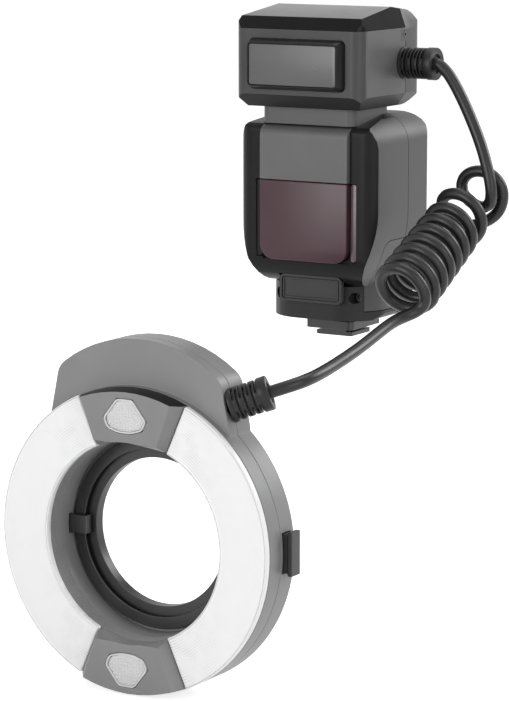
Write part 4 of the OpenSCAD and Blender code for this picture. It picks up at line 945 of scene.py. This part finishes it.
def addDiffuser(name, node, turn, facts):
    wide = facts["outer"] - facts["inner"]
    thick = facts["front"] - facts["back"]
    bpy.ops.mesh.primitive_plane_add(
        size=1, location=((facts["inner"] + wide / 2) * mm, -(facts["back"] + thick / 2) * mm, 0))
    piece = bpy.context.object
    piece.name = name
    piece.scale = (wide * mm, thick * mm, 1)
    applyPlace(piece)
    startEdit(piece)
    front = -facts["front"] * mm
    pickEdges(piece, lambda e: abs(middle(e).y - front) < sameSpot)
    bpy.ops.mesh.subdivide(number_cuts=2 * facts["ribs"] + 1)
    shape = bmesh.from_edit_mesh(piece.data)
    pitch = wide * mm / (2 * facts["ribs"] + 2)
    for vert in shape.verts:
        place = round((vert.co.x - facts["inner"] * mm) / pitch)
        if abs(vert.co.y - front) < sameSpot and place % 2 and 1 < place < 2 * facts["ribs"] + 1:
            vert.co.y += facts["ribDeep"] * mm
    bmesh.update_edit_mesh(piece.data)
    bpy.ops.mesh.select_all(action="SELECT")
    bpy.ops.mesh.spin(
        steps=facts["steps"], angle=math.radians(2 * facts["half"]), center=(0, 0, 0), axis=(0, 1, 0))
    bpy.ops.mesh.select_all(action="DESELECT")
    bpy.ops.mesh.select_mode(type="EDGE")
    bpy.ops.mesh.select_non_manifold()
    bpy.ops.mesh.edge_face_add()
    endEdit()
    mendNormals(piece)
    softEdges(piece, facts["edge"] * mm, 50, 3)
    smoothByAngle(piece, 40)
    piece.rotation_euler = (0, math.radians(turn + facts["half"]), 0)
    piece.location = ringCentre * mm
    applyPlace(piece)
    settle(piece, "ring_head", "diffuser_white", finishes["diffuserWhite"], node)


for side in diffuserFacts["sides"]:
    addDiffuser(*side, diffuserFacts)
print("diffusers spun")


# lamp lenses: a field of small pyramids, kept where the frame's lenses are
lampFacts = {
    "cells": (16, 12),
    "cell": 1.5,
    "tip": 0.4,
    "from": 27.15,
    "back": 26.0,
    "corner": 1.3,
    "rim": 0.7,
    "sunk": 1.6,
    "shrink": 0.89,
    "radius": 54.0,
    "edge": 0.2,
}


def addPyramidField(name, height, facts):
    across, down = facts["cells"]
    bpy.ops.mesh.primitive_grid_add(
        x_subdivisions=across, y_subdivisions=down, size=1, location=(0, -facts["from"] * mm, height * mm))
    field = bpy.context.object
    field.name = name
    field.scale = (across * facts["cell"] * mm, down * facts["cell"] * mm, 1)
    field.rotation_euler = (math.radians(90), 0, 0)
    applyPlace(field)
    startEdit(field)
    bpy.ops.mesh.select_all(action="SELECT")
    bpy.ops.mesh.poke(offset=facts["tip"] * mm)
    bpy.ops.mesh.select_all(action="DESELECT")
    bpy.ops.mesh.select_mode(type="EDGE")
    bpy.ops.mesh.select_non_manifold()
    bpy.ops.mesh.extrude_edges_move(
        TRANSFORM_OT_translate={"value": (0, (facts["from"] - facts["back"]) * mm, 0)})
    bpy.ops.mesh.edge_face_add()
    endEdit()
    field.location = ringCentre * mm
    applyPlace(field)
    mendNormals(field)
    return field


def lensOutline(name, corner):
    # the frame's two lenses with round corners
    piece = easedCopy(name, "lamp_lenses", 0)
    startEdit(piece)
    pickEdges(piece, lambda e: abs((e.verts[0].co - e.verts[1].co).normalized().y) > 0.9)
    bpy.ops.mesh.bevel(offset=corner * mm, segments=4)
    endEdit()
    return piece


def addLampLenses(facts):
    rims = lensOutline("lamp_lens_pair", facts["corner"])
    startEdit(rims)
    pickFaces(rims, lambda f: f.normal.y < -0.9)
    stepFace(facts["rim"], facts["sunk"])
    endEdit()
    softEdges(rims, facts["edge"] * mm, 50)
    core = lensOutline("lamp_lens_core", facts["corner"])
    startEdit(core)
    for side in (1, -1):
        pickFaces(core, lambda f: (f.calc_center_median().z - ringCentre.z * mm) * side > 0)
        bpy.ops.transform.resize(
            value=(facts["shrink"], 1, facts["shrink"]),
            center_override=(0, 0, (ringCentre.z + side * facts["radius"]) * mm))
    endEdit()
    fieldTop = addPyramidField("pyramids_top", facts["radius"], facts)
    fieldBottom = addPyramidField("pyramids_bottom", -facts["radius"], facts)
    makeActive(fieldTop)
    fieldBottom.select_set(True)
    bpy.ops.object.join()
    shared = core.modifiers.new("pyramids", "BOOLEAN")
    shared.operation = "INTERSECT"
    shared.solver = "EXACT"
    shared.object = fieldTop
    applyModifiers(core)
    bpy.data.objects.remove(fieldTop)
    makeActive(rims)
    core.select_set(True)
    bpy.ops.object.join()
    settle(rims, "ring_head", "clear_lens", finishes["clearLens"], "lamp_lenses")


addLampLenses(lampFacts)
print("lamp lenses cut")


# what stays as the frame has it, with its finish
nodeFinish = {
    "trimPlastic": ["battery_tray", "select_dial"],
    "buttonPlastic": ["key_switches"],
    "testRed": ["af_lamp"],
    "steel": ["lock_pin", "foot_retainer", "foot_screws", "door_pin", "release_springs"],
    "darkSteel": ["case_screws", "ring_screws"],
    "goldContact": ["shoe_contacts", "tray_contacts", "door_contacts"],
    "reflectorMetal": ["reflectors"],
    "tubeGlass": ["flash_tubes"],
    "displayGlass": ["lcd_window"],
    "circuitBoard": ["main_board", "ring_board", "lcd_module"],
    "cellSleeve": ["battery_cells"],
    "winding": ["transformer"],
    "capacitorSleeve": ["flash_capacitor"],
    "led": ["lamp_leds"],
}
for finishName, names in nodeFinish.items():
    for nodeName in names:
        cadNodes[nodeName].data.materials.clear()
        cadNodes[nodeName].data.materials.append(finishes[finishName])
print("frame nodes finished")


# floor, light and backdrop
studio = {
    "floorSize": 12.0,
    "floorTone": (0.8, 0.8, 0.8),
    "floorRough": 0.9,
    "floorGlow": 0.72,
    "worldFill": 0.28,
    "lamps": [
        # name, place, size, watts
        ("left_softbox", (-0.45, -1.8, 0.4), 0.9, 13.5),
        ("right_softbox", (1.0, 1.35, 0.95), 0.9, 18.0),
        ("fill_softbox", (1.6, -0.95, 0.5), 1.2, 9.0),
        ("top_softbox", (0.1, 0.3, 1.7), 1.2, 9.0),
    ],
    "lampsAim": (0.0, -0.08, 0.0),
}


def addFloor(facts):
    lowest = cadBox[0].z
    bpy.ops.mesh.primitive_plane_add(size=facts["floorSize"], location=(0, 0, lowest))
    floor = bpy.context.object
    floor.name = "floor"
    applyPlace(floor)
    finish, tree, surface, _ = shaderTree("floor_paper")
    surface.inputs["Base Color"].default_value = (*facts["floorTone"], 1.0)
    surface.inputs["Roughness"].default_value = facts["floorRough"]
    path = tree.nodes.new("ShaderNodeLightPath")
    seen = combine(tree, "MAXIMUM", path.outputs["Is Camera Ray"], path.outputs["Is Glossy Ray"])
    glow = spreadTo(tree, seen, 0.0, facts["floorGlow"], 0.0, 1.0)
    surface.inputs["Emission Color"].default_value = (1, 1, 1, 1)
    tree.links.new(glow, surface.inputs["Emission Strength"])
    floor.data.materials.append(finish)


def addWorld(facts):
    world = bpy.data.worlds.new("white_room")
    bpy.context.scene.world = world
    world.use_nodes = True
    tree = world.node_tree
    tree.nodes.clear()
    output = tree.nodes.new("ShaderNodeOutputWorld")
    light = tree.nodes.new("ShaderNodeBackground")
    tree.links.new(light.outputs["Background"], output.inputs["Surface"])
    light.inputs["Color"].default_value = (1, 1, 1, 1)
    path = tree.nodes.new("ShaderNodeLightPath")
    seen = combine(tree, "MAXIMUM", path.outputs["Is Camera Ray"], path.outputs["Is Glossy Ray"])
    seen = combine(tree, "MAXIMUM", seen, path.outputs["Is Transmission Ray"])
    strength = spreadTo(tree, seen, facts["worldFill"], 1.0, 0.0, 1.0)
    tree.links.new(strength, light.inputs["Strength"])


def addLamps(facts):
    for name, place, size, watts in facts["lamps"]:
        turn = (Vector(facts["lampsAim"]) - Vector(place)).to_track_quat("-Z", "Y").to_euler()
        bpy.ops.object.light_add(type="AREA", location=place, rotation=turn)
        lamp = bpy.context.object
        lamp.name = name
        lamp.data.shape = "SQUARE"
        lamp.data.size = size
        lamp.data.energy = watts
        lamp.visible_camera = False


addFloor(studio)
addWorld(studio)
addLamps(studio)
print("studio set")
